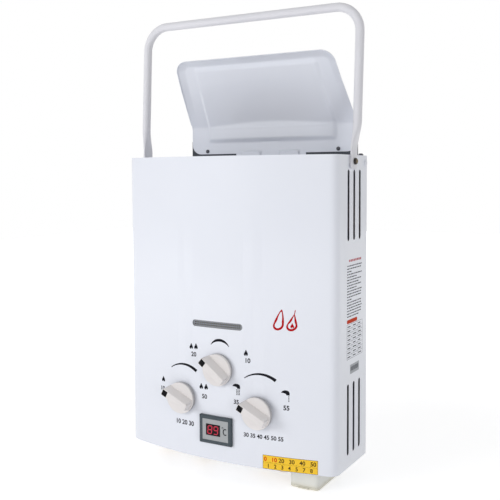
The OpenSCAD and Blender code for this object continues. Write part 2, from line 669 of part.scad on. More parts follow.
module flame_knob() color("linen") place_knob(-lower_knob_x, lower_knob_h) knob(flame_angle);
module season_knob() color("linen") place_knob(0, upper_knob_h) knob(season_angle);
module temperature_knob() color("linen") place_knob(temperature_knob_x, temperature_knob_h)
    knob(temperature_angle);
module flame_pointer() color("black") place_knob(-lower_knob_x, lower_knob_h) pointer(flame_angle);
module season_pointer() color("black") place_knob(0, upper_knob_h) pointer(season_angle);
module temperature_pointer() color("black") place_knob(temperature_knob_x, temperature_knob_h)
    pointer(temperature_angle);
module flame_spindle() color("darkgoldenrod") place_knob(-lower_knob_x, lower_knob_h)
    spindle(flame_angle, spindle_run(lower_knob_x));
module season_spindle() color("darkgoldenrod") place_knob(0, upper_knob_h)
    spindle(season_angle, spindle_run(0));
module temperature_spindle() color("darkgoldenrod") place_knob(temperature_knob_x, temperature_knob_h)
    spindle(temperature_angle, spindle_run(temperature_knob_x));

// ================= flue, heat exchanger and combustion chamber
module duct(h0, h1) translate([flue_x, -(flue_back + flue_d/2), h0]) linear_extrude(h1 - h0) difference() {
    square([flue_w, flue_d], center = true);
    square([flue_w - 2*duct_t, flue_d - 2*duct_t], center = true);
}
module along_tubes(d, l) for (y = tube_y) translate([flue_x, y, exchanger_tube_h]) rotate([0, 90, 0])
    cylinder(d = d, h = l, center = true);
module flue_collar() color("gainsboro") above_floor() duct(exchanger_top_h, cabinet_h - sheet);
module exchanger_shell() color("peru") above_floor() difference() {
    duct(exchanger_h, exchanger_top_h);
    along_tubes(water_tube_d, flue_w + 2);
}
module exchanger_fins() color("peru") above_floor() difference() {
    for (i = [0:fin_count - 1])
        translate([flue_x - fin_t/2 + (i - (fin_count - 1)/2)*(flue_w - 2*duct_t - 4)/(fin_count - 1),
            -flue_front + duct_t, exchanger_h + 3]) cube([fin_t, flue_d - 2*duct_t, exchanger_l - 6]);
    along_tubes(water_tube_d, flue_w + 2);
}
module exchanger_path(d) {
    left = flue_x - flue_w/2 - tube_stub;
    right = flue_x + flue_w/2 + tube_stub;
    r = exchanger_pitch/2;
    z = exchanger_tube_h;
    path_leg([left, tube_y[0], z], [right, tube_y[0], z], d);
    path_leg([left, tube_y[1], z], [right, tube_y[1], z], d);
    path_leg([left, tube_y[2], z], [right, tube_y[2], z], d);
    translate([left, tube_y[0] - r, z]) rotate(90) rotate_extrude(angle = 180) translate([r, 0]) circle(d = d);
    translate([right, tube_y[1] - r, z]) rotate(-90) rotate_extrude(angle = 180) translate([r, 0]) circle(d = d);
}
module exchanger_tubes() color("chocolate") above_floor() difference() {
    exchanger_path(water_tube_d);
    exchanger_path(water_tube_d - 2*water_tube_wall);
}
module combustion_chamber() color("peru") above_floor() difference() {
    duct(chamber_bottom_h, exchanger_h);
    facing_front(window_x, window_h, -flue_back - flue_d/2) linear_extrude(flue_d)
        rounded_bar(window_l, window_w);
}
bracket_t = 2;
module chamber_brackets() color("silver") above_floor() for (s = [-1, 1], h = [200, 255])
    translate([flue_x + s*60 - bracket_t/2, -flue_back, h]) cube([bracket_t, flue_back - sheet, 14]);
cutout_h = 215;
module overheat_cutout() color("black") above_floor() difference() {
    translate([-outlet_x, tube_y[2] + water_tube_d/2 + 1, cutout_h]) rotate([90, 0, 0])
        translate([0, 0, -9]) cylinder(d = 15, h = 12);
    translate([-outlet_x, tube_y[2], cutout_h - 20]) cylinder(d = water_tube_d, h = 40);
}

// ================= burner
manifold_front_gap = 25.5;
manifold_back = cabinet_d - manifold_front_gap;
bar_front = manifold_back - 4;
bar_back = 26;
throat_d = 10;
module at_burner_bars() for (i = [0:burner_count - 1])
    translate([flue_x + (i - (burner_count - 1)/2)*burner_pitch, 0, 0]) children();
module burner_bars() color("lightgray") above_floor() at_burner_bars() difference() {
    union() {
        translate([-burner_bar_t/2, -bar_front, nozzle_h]) cube([burner_bar_t, bar_front - bar_back,
            burner_top_h - nozzle_h]);
        translate([0, -bar_back - 14, nozzle_h]) rotate([90, 0, 0]) cylinder(d = throat_d, h = bar_front - bar_back - 14);
    }
    translate([0, -bar_front + 30, nozzle_h]) rotate([90, 0, 0]) cylinder(d = throat_d - 3, h = 40);
}
frame_t = 1.5;
frame_half = (burner_count/2)*burner_pitch + 4;
module burner_frame() color("silver") above_floor() difference() {
    union() {
        for (s = [-1, 1]) translate([flue_x + s*frame_half - frame_t/2, -manifold_back, nozzle_h - 8])
            cube([frame_t, manifold_back - bar_back + 6, chamber_bottom_h - nozzle_h + 8]);
        translate([flue_x - frame_half, -bar_back, nozzle_h + 8])
            cube([2*frame_half, frame_t, chamber_bottom_h - nozzle_h - 8]);
        for (s = [-1, 1]) translate([flue_x + s*(frame_half - 6), -bar_back, nozzle_h + 10])
            cube([6, bar_back - sheet, frame_t]);
        at_burner_bars() translate([-burner_pitch/2, -bar_back - 6, nozzle_h + 10])
            cube([burner_pitch, 7, frame_t]);
        translate([flue_x - frame_half, -manifold_back - 5, rail_h])
            cube([2*frame_half, manifold_back - bar_front + 4.8, frame_t]);
        translate([flue_x - flue_w/2, -flue_front, chamber_bottom_h - frame_t]) difference() {
            cube([flue_w, flue_d, frame_t]);
            translate([flue_w/2 - frame_half, -1, -1]) cube([2*frame_half, flue_d + 2, frame_t + 2]);
        }
    }
    at_electrodes() cylinder(d = electrode_d, h = cabinet_h);
    at_burner_bars() translate([-burner_bar_t/2, -bar_back - 10, nozzle_h]) cube([burner_bar_t, 10, 30]);
}
module gas_manifold() color("goldenrod") above_floor() {
    difference() {
        translate([flue_x - frame_half - 2, -manifold_back - manifold_w, nozzle_h - manifold_w/2])
            cube([2*frame_half + 4, manifold_w, manifold_w]);
        translate([flue_x - frame_half, -manifold_back - manifold_w/2, nozzle_h]) rotate([0, 90, 0])
            cylinder(d = manifold_w - 4, h = 2*frame_half);
    }
    at_burner_bars() translate([0, -manifold_back, nozzle_h]) rotate([-90, 0, 0]) difference() {
        cylinder(d = 6, h = 5, $fn = 6);
        translate([0, 0, -3]) cylinder(d = 0.9, h = 9);
    }
    difference() {
        gas_run(9);
        gas_run(6);
    }
}
gas_pipe_h = lower_knob_h + valve_half + 16;
module gas_run(d) path_rod([[gas_in_x, valve_y, lower_knob_h + valve_half], [gas_in_x, valve_y, gas_pipe_h],
    [gas_in_x, -manifold_back - manifold_w/2, gas_pipe_h],
    [gas_in_x, -manifold_back - manifold_w/2, nozzle_h - manifold_w/2 + eps]], 7, d);
electrode_y = -(bar_front + 2);
electrode_d = 5;
pin_x0 = flue_x + burner_pitch*floor(burner_count/4);
module at_electrodes() for (i = [0:1]) translate([pin_x0 + i*burner_pitch, electrode_y, 0]) children();
module flame_electrodes() color("white") above_floor() at_electrodes()
    translate([0, 0, electrode_foot_h]) {
        cylinder(d = electrode_d, h = chamber_bottom_h - 4 - electrode_foot_h);
        cylinder(d = 1.6, h = chamber_bottom_h + 2 - electrode_foot_h);
    }

// ================= igniter and leads
box_x = -2;
box_w = 40;
box_d = 30;
box_h = 48;
box_back = 28;
module igniter_box() color("dimgray") above_floor() translate([box_x, -(box_back + box_d/2), floor_top_h])
    linear_extrude(box_h) rounded_rect(box_w, box_d, 3);
lead_d = 3;
lead_x = box_x + box_w/2 - 4;
lead_y = -(box_back + 8);
lead_h = lower_knob_h + valve_half + 7;
module ignition_lead() color("red") above_floor() path_rod([
    [lead_x, lead_y, floor_top_h + box_h], [lead_x, lead_y, lead_h], [pin_x0, lead_y, lead_h],
    [pin_x0, electrode_y, lead_h], [pin_x0, electrode_y, chamber_bottom_h - 22]], 4, lead_d);
module wiring_harness() color("black") above_floor() {
    path_leg([display_x, -(box_back + box_d), display_h], [display_x, display_y + bezel_back, display_h], lead_d);
    path_rod([[case_x, case_mid_y + case_d/2 - 12, 30], [box_x, case_mid_y + case_d/2 - 12, 30],
        [box_x, -box_back, 30]], 4, lead_d);
}

// ================= gas side
module boss(x, h, d) facing_front(x, h, -valve_front + 1) cylinder(d = d, h = boss_l + 1);
module spindle_bore(x, h) facing_front(x, h, -spindle_end + 1)
    cylinder(d = spindle_d + 2*turn_fit, h = valve_front + boss_l);
module gas_valve() color("silver") above_floor() difference() {
    union() {
        translate([gas_left, -valve_front, lower_knob_h - valve_half])
            cube([gas_right - gas_left, valve_d, 2*valve_half]);
        boss(-lower_knob_x, lower_knob_h, 20);
        boss(0, upper_knob_h, upper_boss_d);
        translate([gas_right - 16, -valve_front, upper_knob_h - 9]) cube([-gas_right + 16, valve_d, 18]);
        translate([gas_right - 16, -valve_front, lower_knob_h]) cube([16, valve_d, upper_knob_h - lower_knob_h]);
        facing_front(0, upper_knob_h, -valve_back) cylinder(r = 9, h = valve_d);
    }
    spindle_bore(-lower_knob_x, lower_knob_h);
    spindle_bore(0, upper_knob_h);
    translate([gas_right - 12, valve_y, lower_knob_h]) rotate([0, 90, 0])
        cylinder(d = rod_d + 2*turn_fit, h = 30);
}
solenoid_l = 20;
solenoid_d = 22;
jog_h = lower_knob_h - solenoid_d/2 - water_tube_d/2 - 7;
module gas_solenoid() color("steelblue") above_floor() translate([gas_left - solenoid_l, valve_y, lower_knob_h])
    rotate([0, 90, 0]) {
        cylinder(d = solenoid_d, h = solenoid_l);
        translate([0, 0, -4]) cylinder(d = 8, h = 5);
    }
module stub(x, up_h, neck_d, y = fitting_y) translate([x, -y, 0]) difference() {
    union() {
        translate([0, 0, -collar_t - stub_l]) cylinder(d = stub_d, h = stub_l + eps);
        translate([0, 0, -collar_t]) cylinder(d = collar_d, h = collar_t + sheet);
        cylinder(d = stub_d, h = floor_top_h + pipe_nut_t + 2);
        cylinder(d = neck_d, h = up_h);
        translate([0, 0, floor_top_h]) rotate(30) cylinder(d = pipe_nut_w/cos(30), h = pipe_nut_t, $fn = 6);
    }
    translate([0, 0, -collar_t - stub_l - 1]) cylinder(d = stub_bore_d, h = stub_l + collar_t + 10);
    cylinder(d = neck_d - 3, h = up_h + 1);
}
module gas_inlet() color("goldenrod") above_floor() stub(gas_in_x, lower_knob_h - valve_half, 14);

// ================= water side
drain_x = lower_knob_x - 19.5;
drain_boss_d = 16;
drain_stem_d = 10;
drain_head_d = 20;
cover_split = water_left - 9;
chamber_r = 21;
module water_valve() color("goldenrod") above_floor() difference() {
    union() {
        translate([water_left, -valve_front, lower_knob_h - valve_half])
            cube([water_right - water_left, valve_d, 2*valve_half]);
        boss(temperature_knob_x, temperature_knob_h, 20);
        translate([cover_split + 1, valve_y, lower_knob_h]) rotate([0, 90, 0])
            cylinder(r = chamber_r, h = water_left - cover_split);
        translate([drain_x, -fitting_y, drain_boss_h])
            cylinder(d = drain_boss_d, h = lower_knob_h - chamber_r - 1 - drain_boss_h);
        translate([drain_x, -fitting_y - 6, lower_knob_h - chamber_r - 10]) cube([water_left - drain_x + 5, 12, 9]);
    }
    spindle_bore(temperature_knob_x, temperature_knob_h);
    translate([cover_split, valve_y, lower_knob_h]) rotate([0, 90, 0]) cylinder(r = chamber_r - 4, h = 6);
    translate([drain_x, -fitting_y, drain_boss_h - 1]) cylinder(d = drain_stem_d + 2*turn_fit, h = 16);
}
drain_boss_h = 20;
diaphragm_t = 1;
module diaphragm() color("black") above_floor() translate([cover_split, valve_y, lower_knob_h]) rotate([0, 90, 0])
    cylinder(r = chamber_r, h = diaphragm_t);
disc_t = 1.5;
disc_gap = 0.5;
cover_in = rod_travel + disc_t + 2*disc_gap;
cover_l = cover_in + 2.5;
module valve_cover() color("goldenrod") above_floor() translate([cover_split - cover_l, valve_y, lower_knob_h])
    rotate([0, 90, 0]) difference() {
        cylinder(r = chamber_r, h = cover_l);
        translate([0, 0, cover_l - cover_in]) cylinder(r = chamber_r - 4, h = cover_in + 1);
        translate([0, 0, -1]) cylinder(d = rod_d + 2*turn_fit, h = cover_l);
    }
rod_tip_x = gas_right - 6;
disc_x = cover_split - disc_t - disc_gap;
module push_rod() color("silver") above_floor() translate([rod_tip_x, valve_y, lower_knob_h]) rotate([0, 90, 0]) {
    cylinder(d = rod_d, h = disc_x - rod_tip_x + 1);
    translate([0, 0, disc_x - rod_tip_x]) cylinder(r = chamber_r - 6, h = disc_t);
    translate([0, 0, -rod_tip_x + box_x - 1]) cylinder(d = 10, h = 2);
}
switch_h = lower_knob_h - 5 - floor_top_h - box_h - 0.3;
module micro_switch() color("black") above_floor()
    translate([box_x - 10, valve_y - 3.2, floor_top_h + box_h]) cube([20, 6.4, switch_h]);

module water_inlet() color("goldenrod") above_floor() stub(water_in_x, lower_knob_h - valve_half, 14);
module inlet_filter() color("lightgray") above_floor() translate([water_in_x, -fitting_y, -collar_t - stub_l + 1]) {
    ring(stub_bore_d, stub_bore_d - 2, 1.5);
    difference() {
        cylinder(d1 = stub_bore_d - 1, d2 = 6, h = 16);
        translate([0, 0, -eps]) cylinder(d1 = stub_bore_d - 2, d2 = 5, h = 15.2);
    }
}
module water_outlet() color("goldenrod") above_floor() stub(-outlet_x, outlet_up, 14, outlet_y);
outlet_up = 24;
module pipe_bends(points, r) difference() {
    path_rod(points, r, water_tube_d);
    path_rod(points, r, water_tube_d - 2*water_tube_wall);
}
module cold_pipe() color("chocolate") above_floor() pipe_bends([
    [water_right, valve_y, lower_knob_h + 12], [cold_x + 8, valve_y, lower_knob_h + 12],
    [cold_x + 8, valve_y, exchanger_tube_h - 26], [cold_x + 8, tube_y[0], exchanger_tube_h - 26],
    [cold_x + 8, tube_y[0], exchanger_tube_h], [cold_x - water_tube_d/2, tube_y[0], exchanger_tube_h]], 9);
module hot_pipe() color("chocolate") above_floor() pipe_bends([
    [-outlet_x, -outlet_y, outlet_up], [-outlet_x, -outlet_y, jog_h], [-outlet_x, tube_y[2], jog_h],
    [-outlet_x, tube_y[2], exchanger_tube_h],
    [flue_x - flue_w/2 - tube_stub, tube_y[2], exchanger_tube_h]], 9);
module drain_plug() color("goldenrod") above_floor() translate([drain_x, -fitting_y, -13]) {
    difference() {
        cylinder(d = drain_head_d - 2, h = 12);
        for (a = [0:30:330]) rotate(a) translate([drain_head_d/2 - 0.6, 0, -1]) cylinder(d = 2.4, h = 14);
        translate([-drain_head_d, -1.2, -eps]) cube([2*drain_head_d, 2.4, 2.5]);
    }
    cylinder(d = drain_stem_d, h = 13 + drain_boss_h + 12);
}

// ================= battery case
module case_outline(inset) rounded_rect(case_w - 2*inset, case_d - 2*inset, max(case_corner_r - inset, 1));
knuckle_d = 4.6;
knuckle_l = 6;
door_y = case_mid_y + case_d/2 + knuckle_d/2 + 0.1;
door_h = case_bottom_h - door_t/2;
module knuckle(x, l) translate([x, door_y, door_h]) rotate([0, 90, 0]) cylinder(d = knuckle_d, h = l);
module pin_bore(x, l, d) translate([x - 1, door_y, door_h]) rotate([0, 90, 0]) cylinder(d = d, h = l + 2);
module battery_case() color("lightgray") above_floor() difference() {
    union() {
        translate([case_mid_x, case_mid_y, case_bottom_h]) linear_extrude(case_top_h - case_bottom_h)
            case_outline(0);
        translate([case_mid_x, case_mid_y, floor_top_h]) linear_extrude(2) case_outline(-3);
        for (x = [case_x + 3, case_x + case_w - 3 - knuckle_l]) {
            knuckle(x, knuckle_l);
            translate([x, case_mid_y + case_d/2 - case_wall, door_h]) cube([knuckle_l, case_wall + 2.4,
                case_bottom_h - door_h + 5]);
        }
    }
    translate([case_mid_x, case_mid_y, case_bottom_h - 1])
        linear_extrude(case_top_h - case_bottom_h - case_wall + 1) case_outline(case_wall);
    translate([case_x - 1, case_mid_y - case_d, door_h - 5])
        cube([case_w + 2, case_d*1.5, case_bottom_h - door_h + 5]);
    pin_bore(case_x, case_w, door_pin_d);
}
module battery_contacts() color("silver") above_floor() for (s = [-1, 1])
    translate([case_mid_x, case_mid_y + s*(battery_d + battery_fit)/2, case_bottom_h + contact_t + battery_l]) {
        cylinder(d = 12, h = contact_t);
        translate([0, 0, -contact_t - battery_l]) ring(16, 12, contact_t);
    }
module battery_pack() color("dimgray") above_floor() for (s = [-1, 1])
    translate([case_mid_x, case_mid_y + s*(battery_d + battery_fit)/2, case_bottom_h + contact_t]) {
        cylinder(d = battery_d, h = battery_l - 1.8);
        cylinder(d = 5.5, h = battery_l);
    }
module battery_door() color("lightgray") above_floor() difference() {
    union() {
        translate([case_mid_x, case_mid_y, case_bottom_h - door_t]) linear_extrude(door_t - sheet_fit)
            case_outline(0);
        knuckle(case_x + 3 + knuckle_l + sheet_fit, case_w - 6 - 2*knuckle_l - 2*sheet_fit);
        translate([case_x + 3 + knuckle_l + sheet_fit, door_y - knuckle_d/2 - 1, door_h - door_t/2])
            cube([case_w - 6 - 2*knuckle_l - 2*sheet_fit, knuckle_d/2 + 1, door_t - sheet_fit]);
        translate([case_mid_x - 7, case_mid_y - case_d/2 - 1.5, case_bottom_h - door_t]) cube([14, 3, 1.5]);
    }
    pin_bore(case_x, case_w, door_pin_d + 2*turn_fit);
}
module door_pin() color("silver") above_floor() translate([case_x + 3, door_y, door_h]) rotate([0, 90, 0])
    cylinder(d = door_pin_d, h = case_w - 6);

front_cover();
back_plate();
hanger_doubler();
top_plate();
bottom_plate();
cover_screws();
carry_handle();
handle_bolts();
handle_washers();
handle_nuts();
rain_cap();
cap_bracket();
cap_screws();
window_mesh();
mica_window();
display_bezel();
display_plate();
digit_module();
flame_knob();
season_knob();
temperature_knob();
flame_pointer();
season_pointer();
temperature_pointer();
flame_spindle();
season_spindle();
temperature_spindle();
flue_collar();
exchanger_shell();
exchanger_fins();
exchanger_tubes();
combustion_chamber();
chamber_brackets();
overheat_cutout();
burner_bars();
burner_frame();
gas_manifold();
flame_electrodes();
igniter_box();
ignition_lead();
wiring_harness();
gas_valve();
gas_solenoid();
gas_inlet();
water_valve();
valve_cover();
diaphragm();
push_rod();
micro_switch();
water_inlet();
inlet_filter();
water_outlet();
cold_pipe();
hot_pipe();
drain_plug();
battery_case();
battery_contacts();
battery_pack();
battery_door();
door_pin();
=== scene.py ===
"""Looks of the portable propane water heater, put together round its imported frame."""
from math import atan2, copysign, cos, hypot, pi, radians, sin, sqrt

import bmesh
import bpy
from mathutils import Matrix, Vector


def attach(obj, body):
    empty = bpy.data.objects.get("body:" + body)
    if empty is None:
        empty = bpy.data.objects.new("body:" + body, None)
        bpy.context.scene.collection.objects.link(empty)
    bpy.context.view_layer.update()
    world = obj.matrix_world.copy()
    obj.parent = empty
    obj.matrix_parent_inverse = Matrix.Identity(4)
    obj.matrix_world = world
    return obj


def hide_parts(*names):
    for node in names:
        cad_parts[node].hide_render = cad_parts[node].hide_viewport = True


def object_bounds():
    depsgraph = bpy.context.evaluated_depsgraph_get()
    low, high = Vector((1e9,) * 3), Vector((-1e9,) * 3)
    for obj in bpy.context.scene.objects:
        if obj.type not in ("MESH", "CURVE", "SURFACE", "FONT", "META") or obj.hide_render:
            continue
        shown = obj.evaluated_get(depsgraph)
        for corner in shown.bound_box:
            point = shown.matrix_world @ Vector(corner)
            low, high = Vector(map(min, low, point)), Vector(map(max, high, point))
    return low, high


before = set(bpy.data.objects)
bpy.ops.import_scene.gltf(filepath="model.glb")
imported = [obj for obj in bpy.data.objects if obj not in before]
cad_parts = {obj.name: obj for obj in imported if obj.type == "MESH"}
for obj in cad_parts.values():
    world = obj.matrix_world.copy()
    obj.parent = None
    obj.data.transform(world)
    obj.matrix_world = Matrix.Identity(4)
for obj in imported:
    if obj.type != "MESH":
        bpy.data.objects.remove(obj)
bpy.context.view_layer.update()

# ---------------------------------------------------------------- camera
# The photograph's place and lens: 29 degrees to the right of the front, a little above
# the middle, with the optical axis above the middle of the picture.
MM = 0.001
camera_place = Vector((488.13, -901.44, -1.6))*MM
camera_yaw = radians(29.278)
camera_pitch = radians(3.575)
camera_roll = radians(-0.278)
bpy.ops.object.camera_add()
camera = bpy.context.object
camera.data.lens = 56.716
camera.data.sensor_width = 36
camera.data.shift_y = -0.05
aim = Matrix.Rotation(camera_yaw, 4, "Z") @ Matrix.Rotation(pi/2 - camera_pitch, 4, "X")
camera.matrix_world = Matrix.Translation(camera_place) @ aim @ Matrix.Rotation(camera_roll, 4, "Z")
bpy.context.scene.camera = camera
bpy.context.scene.view_settings.view_transform = "Standard"


# ---------------------------------------------------------------- studio
# A white table under a white surround, a large soft lamp to the front left, a weaker one to
# the right and one above. The camera and reflections see the surround whiter than it lights.
class Wire:
    """A socket of a material's nodes that can be written in arithmetic."""

    def __init__(self, tree, socket=None):
        self.tree = tree
        self.socket = socket

    def node(self, kind, settings=None, values=None, out=0):
        """Adds a node, sets it up, fills or links its sockets and gives its output."""
        made = self.tree.nodes.new(kind)
        for name, value in (settings or {}).items():
            setattr(made, name, value)
        for name, value in (values or {}).items():
            if isinstance(value, Wire):
                self.tree.links.new(value.socket, made.inputs[name])
            else:
                made.inputs[name].default_value = value
        return Wire(self.tree, made.outputs[out])

    def math(self, operation, *terms):
        return self.node("ShaderNodeMath", {"operation": operation}, dict(enumerate(terms)))

    def __add__(self, other):
        return self.math("ADD", self, other)

    __radd__ = __add__

    def __sub__(self, other):
        return self.math("SUBTRACT", self, other)

    def __rsub__(self, other):
        return self.math("SUBTRACT", other, self)

    def __mul__(self, other):
        return self.math("MULTIPLY", self, other)

    __rmul__ = __mul__

    def step(self, low, high):
        """0 below low and 1 above high."""
        return self.node("ShaderNodeMapRange", {"interpolation_type": "SMOOTHSTEP"},
                         {0: self, 1: low, 2: high, 3: 0.0, 4: 1.0})

    def between(self, colour_a, colour_b):
        """A colour from colour_a, at 0, to colour_b, at 1."""
        a = colour_a if isinstance(colour_a, Wire) else (*colour_a, 1)
        b = colour_b if isinstance(colour_b, Wire) else (*colour_b, 1)
        return self.node("ShaderNodeMix", {"data_type": "RGBA"}, {0: self, 6: a, 7: b}, out=2)

    def place(self):
        return self.node("ShaderNodeTexCoord", out=3)

    def noise(self, scale, detail=2.0, roughness=0.5, stretch=None):
        """Soft random spots, scale of them to a metre, or stretched along an axis."""
        where = self.place()
        if stretch:
            where = self.node("ShaderNodeMapping", {}, {"Vector": where, "Scale": stretch})
        return self.node("ShaderNodeTexNoise", {},
                         {"Vector": where, "Scale": scale, "Detail": detail, "Roughness": roughness})

    def part(self, axis):
        """X, Y or Z of the place on the object, in metres."""
        return self.node("ShaderNodeSeparateXYZ", {}, {0: self.place()}, out="XYZ".index(axis))

    def bump(self, height, strength, distance):
        return self.node("ShaderNodeBump", {},
                         {"Height": height, "Strength": strength, "Distance": distance})


def finish_named(name, paint):
    """A material whose surface gets the values and wires that paint(wire) gives."""
    material = bpy.data.materials.new(name)
    material.use_nodes = True
    tree = material.node_tree
    surface = tree.nodes["Principled BSDF"]
    for socket, value in paint(Wire(tree)).items():
        if isinstance(value, Wire):
            tree.links.new(value.socket, surface.inputs[socket])
        elif isinstance(value, tuple):
            surface.inputs[socket].default_value = (*value, 1)
        else:
            surface.inputs[socket].default_value = value
    return material


table_glow = 0.25
table_seen_near = 0.28
table_seen_far = 0.45
table_near = 0.3
table_far = 1.2


def table_top(w):
    """Satin white that fades into the surround behind, for the camera and reflections."""
    seen = w.node("ShaderNodeLightPath", out=0)
    glossy = w.node("ShaderNodeLightPath", out=3)
    white = w.math("MAXIMUM", seen, glossy)
    away = w.math("SQRT", w.part("X")*w.part("X") + w.part("Y")*w.part("Y"))
    brighter = table_seen_near + table_seen_far*away.step(table_near, table_far)
    return {"Base Color": (0.86, 0.86, 0.87), "Roughness": 0.5, "Emission Color": (1, 1, 1),
            "Emission Strength": white*brighter + table_glow}


table_finish = finish_named("white table", table_top)
world = bpy.data.worlds.new("white surround")
bpy.context.scene.world = world
world.use_nodes = True
sky = Wire(world.node_tree)
sky_light = world.node_tree.nodes["Background"]
path_camera = sky.node("ShaderNodeLightPath", out=0)
path_glossy = sky.node("ShaderNodeLightPath", out=3)
path_through = sky.node("ShaderNodeLightPath", out=6)
seen_white = sky.math("MAXIMUM", path_camera, path_through)
sky_level = 0.35
glossy_level = 1.0
strength = seen_white*(1 - sky_level) + path_glossy*(glossy_level - sky_level) + sky_level
world.node_tree.links.new(strength.socket, sky_light.inputs["Strength"])
sky_light.inputs["Color"].default_value = (1, 1, 1, 1)


def deselect():
    bpy.ops.object.select_all(action="DESELECT")


def settle():
    """Writes the active object's place, turn and size into its mesh."""
    bpy.ops.object.transform_apply(location=True, rotation=True, scale=True)


table_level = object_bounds()[0].z - 0.2*MM
deselect()
bpy.ops.mesh.primitive_plane_add(size=6, location=(0, 1.0, table_level))
table = bpy.context.object
table.name = "table"
bpy.ops.object.mode_set(mode="EDIT")
bpy.ops.mesh.subdivide(number_cuts=3)
bpy.ops.object.mode_set(mode="OBJECT")
table.data.materials.append(table_finish)
settle()


def soft_lamp(name, place, target, size, power):
    bpy.ops.object.light_add(type="AREA", location=place)
    lamp = bpy.context.object
    lamp.name = name
    lamp.data.shape = "RECTANGLE"
    lamp.data.size, lamp.data.size_y = size
    lamp.data.energy = power
    lamp.visible_glossy = False
    lamp.rotation_euler = (Vector(target) - Vector(place)).to_track_quat("-Z", "Y").to_euler()


soft_lamp("front_lamp", (-1.0, -1.55, 0.22), (0, -0.05, -0.05), (1.0, 0.9), 14.0)
soft_lamp("top_lamp", (0.1, -0.3, 1.6), (0, -0.05, 0.1), (1.2, 1.2), 2.5)
soft_lamp("side_lamp", (1.25, -1.0, 0.0), (0.1, -0.05, -0.1), (0.4, 0.9), 4.5)

# ---------------------------------------------------------------- front cover
# One bent sheet of painted steel makes the bowed front and both sides, with its edges
# folded in above and below. Vents, flame window and dial holes are punched through it.
cabinet_foot = -345*MM
cabinet_top = 22*MM
half_width = 145*MM
cabinet_depth = 109.5*MM
corner_round = 12*MM
front_bow = 17*MM
cover_sheet = 1*MM
cover_fold = 9*MM
fold_round = 1.3*MM
corner_steps = 8
bow_steps = 48
side_split = 0.35*cabinet_depth
flank = half_width - corner_round
bow_round = (flank*flank + front_bow*front_bow)/(2*front_bow)
bow_centre = bow_round - cabinet_depth
corner_centre = bow_centre - sqrt((bow_round - corner_round)**2 - flank*flank)
corner_turn = atan2(bow_centre - corner_centre, flank)


def bow(x):
    """Y of the front's outer face, x metres from the middle."""
    return bow_centre - sqrt(bow_round*bow_round - x*x)


def cabinet_outline(inset):
    """The cabinet from above, from the left rear corner round the front to the right."""
    side = -(half_width - inset)
    points = [(side, 0), (side, -side_split)]
    tight = corner_round - inset
    wide = bow_round - inset
    for i in range(corner_steps + 1):
        turn = pi + corner_turn*i/corner_steps
        points.append((-flank + tight*cos(turn), corner_centre + tight*sin(turn)))
    left_half = list(points)
    for i in range(1, bow_steps):
        turn = pi + corner_turn + (pi - 2*corner_turn)*i/bow_steps
        points.append((wide*cos(turn), bow_centre + wide*sin(turn)))
    return points + [(-x, y) for x, y in reversed(left_half)]


def only(piece):
    """Makes piece the one selected and active object."""
    deselect()
    piece.select_set(True)
    bpy.context.view_layer.objects.active = piece


def edit(piece):
    only(piece)
    bpy.ops.object.mode_set(mode="EDIT")


def leave():
    bpy.ops.object.mode_set(mode="OBJECT")


def pick(kind, test):
    """In edit mode, selects the vertices, edges or faces for which test is true."""
    bpy.ops.mesh.select_mode(type=kind)
    bpy.ops.mesh.select_all(action="DESELECT")
    mesh = bmesh.from_edit_mesh(bpy.context.object.data)
    for item in {"VERT": mesh.verts, "EDGE": mesh.edges, "FACE": mesh.faces}[kind]:
        if test(item):
            item.select_set(True)
    mesh.select_flush_mode()
    bmesh.update_edit_mesh(bpy.context.object.data)


def extrude(x=0, y=0, z=0):
    """Extrudes what is selected, in edit mode, by x, y and z, or in place."""
    bpy.ops.mesh.extrude_region_move(TRANSFORM_OT_translate={"value": (x, y, z)})


def pick_all():
    bpy.ops.mesh.select_all(action="SELECT")


def face_out():
    """Selects the whole mesh, in edit mode, and turns its faces outwards."""
    pick_all()
    bpy.ops.mesh.normals_make_consistent(inside=False)


def shift(change):
    """Moves each selected vertex, in edit mode, to where change puts its place."""
    mesh = bmesh.from_edit_mesh(bpy.context.object.data)
    for vertex in mesh.verts:
        if vertex.select:
            vertex.co = change(vertex.co)
    bmesh.update_edit_mesh(bpy.context.object.data)


def middle(item):
    """The middle of an edge or face."""
    return sum((v.co for v in item.verts), Vector())/len(item.verts)


def ring_of(points, height, name, filled=False):
    """A closed loop of vertices at the given places, level with height, or its face."""
    deselect()
    fill = "NGON" if filled else "NOTHING"
    bpy.ops.mesh.primitive_circle_add(vertices=len(points), radius=1, fill_type=fill)
    piece = bpy.context.object
    piece.name = name
    for vertex, (x, y) in zip(piece.data.vertices, points):
        vertex.co = (x, y, height)
    return piece


def apply_modifier(piece, kind, **settings):
    only(piece)
    modifier = piece.modifiers.new("shape", kind)
    for name, value in settings.items():
        setattr(modifier, name, value)
    bpy.ops.object.modifier_apply(modifier=modifier.name)


def cut(piece, cutter, how="DIFFERENCE"):
    apply_modifier(piece, "BOOLEAN", object=cutter, operation=how, solver="EXACT")
    bpy.data.objects.remove(cutter)


def join(pieces):
    """Makes one object of several."""
    deselect()
    for piece in pieces:
        piece.select_set(True)
    bpy.context.view_layer.objects.active = pieces[0]
    if len(pieces) > 1:
        bpy.ops.object.join()
    return pieces[0]


def rounded_block(centre, size, axis, radius, steps=5):
    """A block whose four edges along axis are rounded."""
    deselect()
    bpy.ops.mesh.primitive_cube_add(size=1, location=centre, scale=size)
    piece = bpy.context.object
    settle()
    along = "XYZ".index(axis)
    edit(piece)
    pick("EDGE", lambda e: abs((e.verts[0].co - e.verts[1].co)[along]) > size[along]*0.5)
    bpy.ops.mesh.bevel(offset=radius, segments=steps, affect="EDGES")
    leave()
    return piece


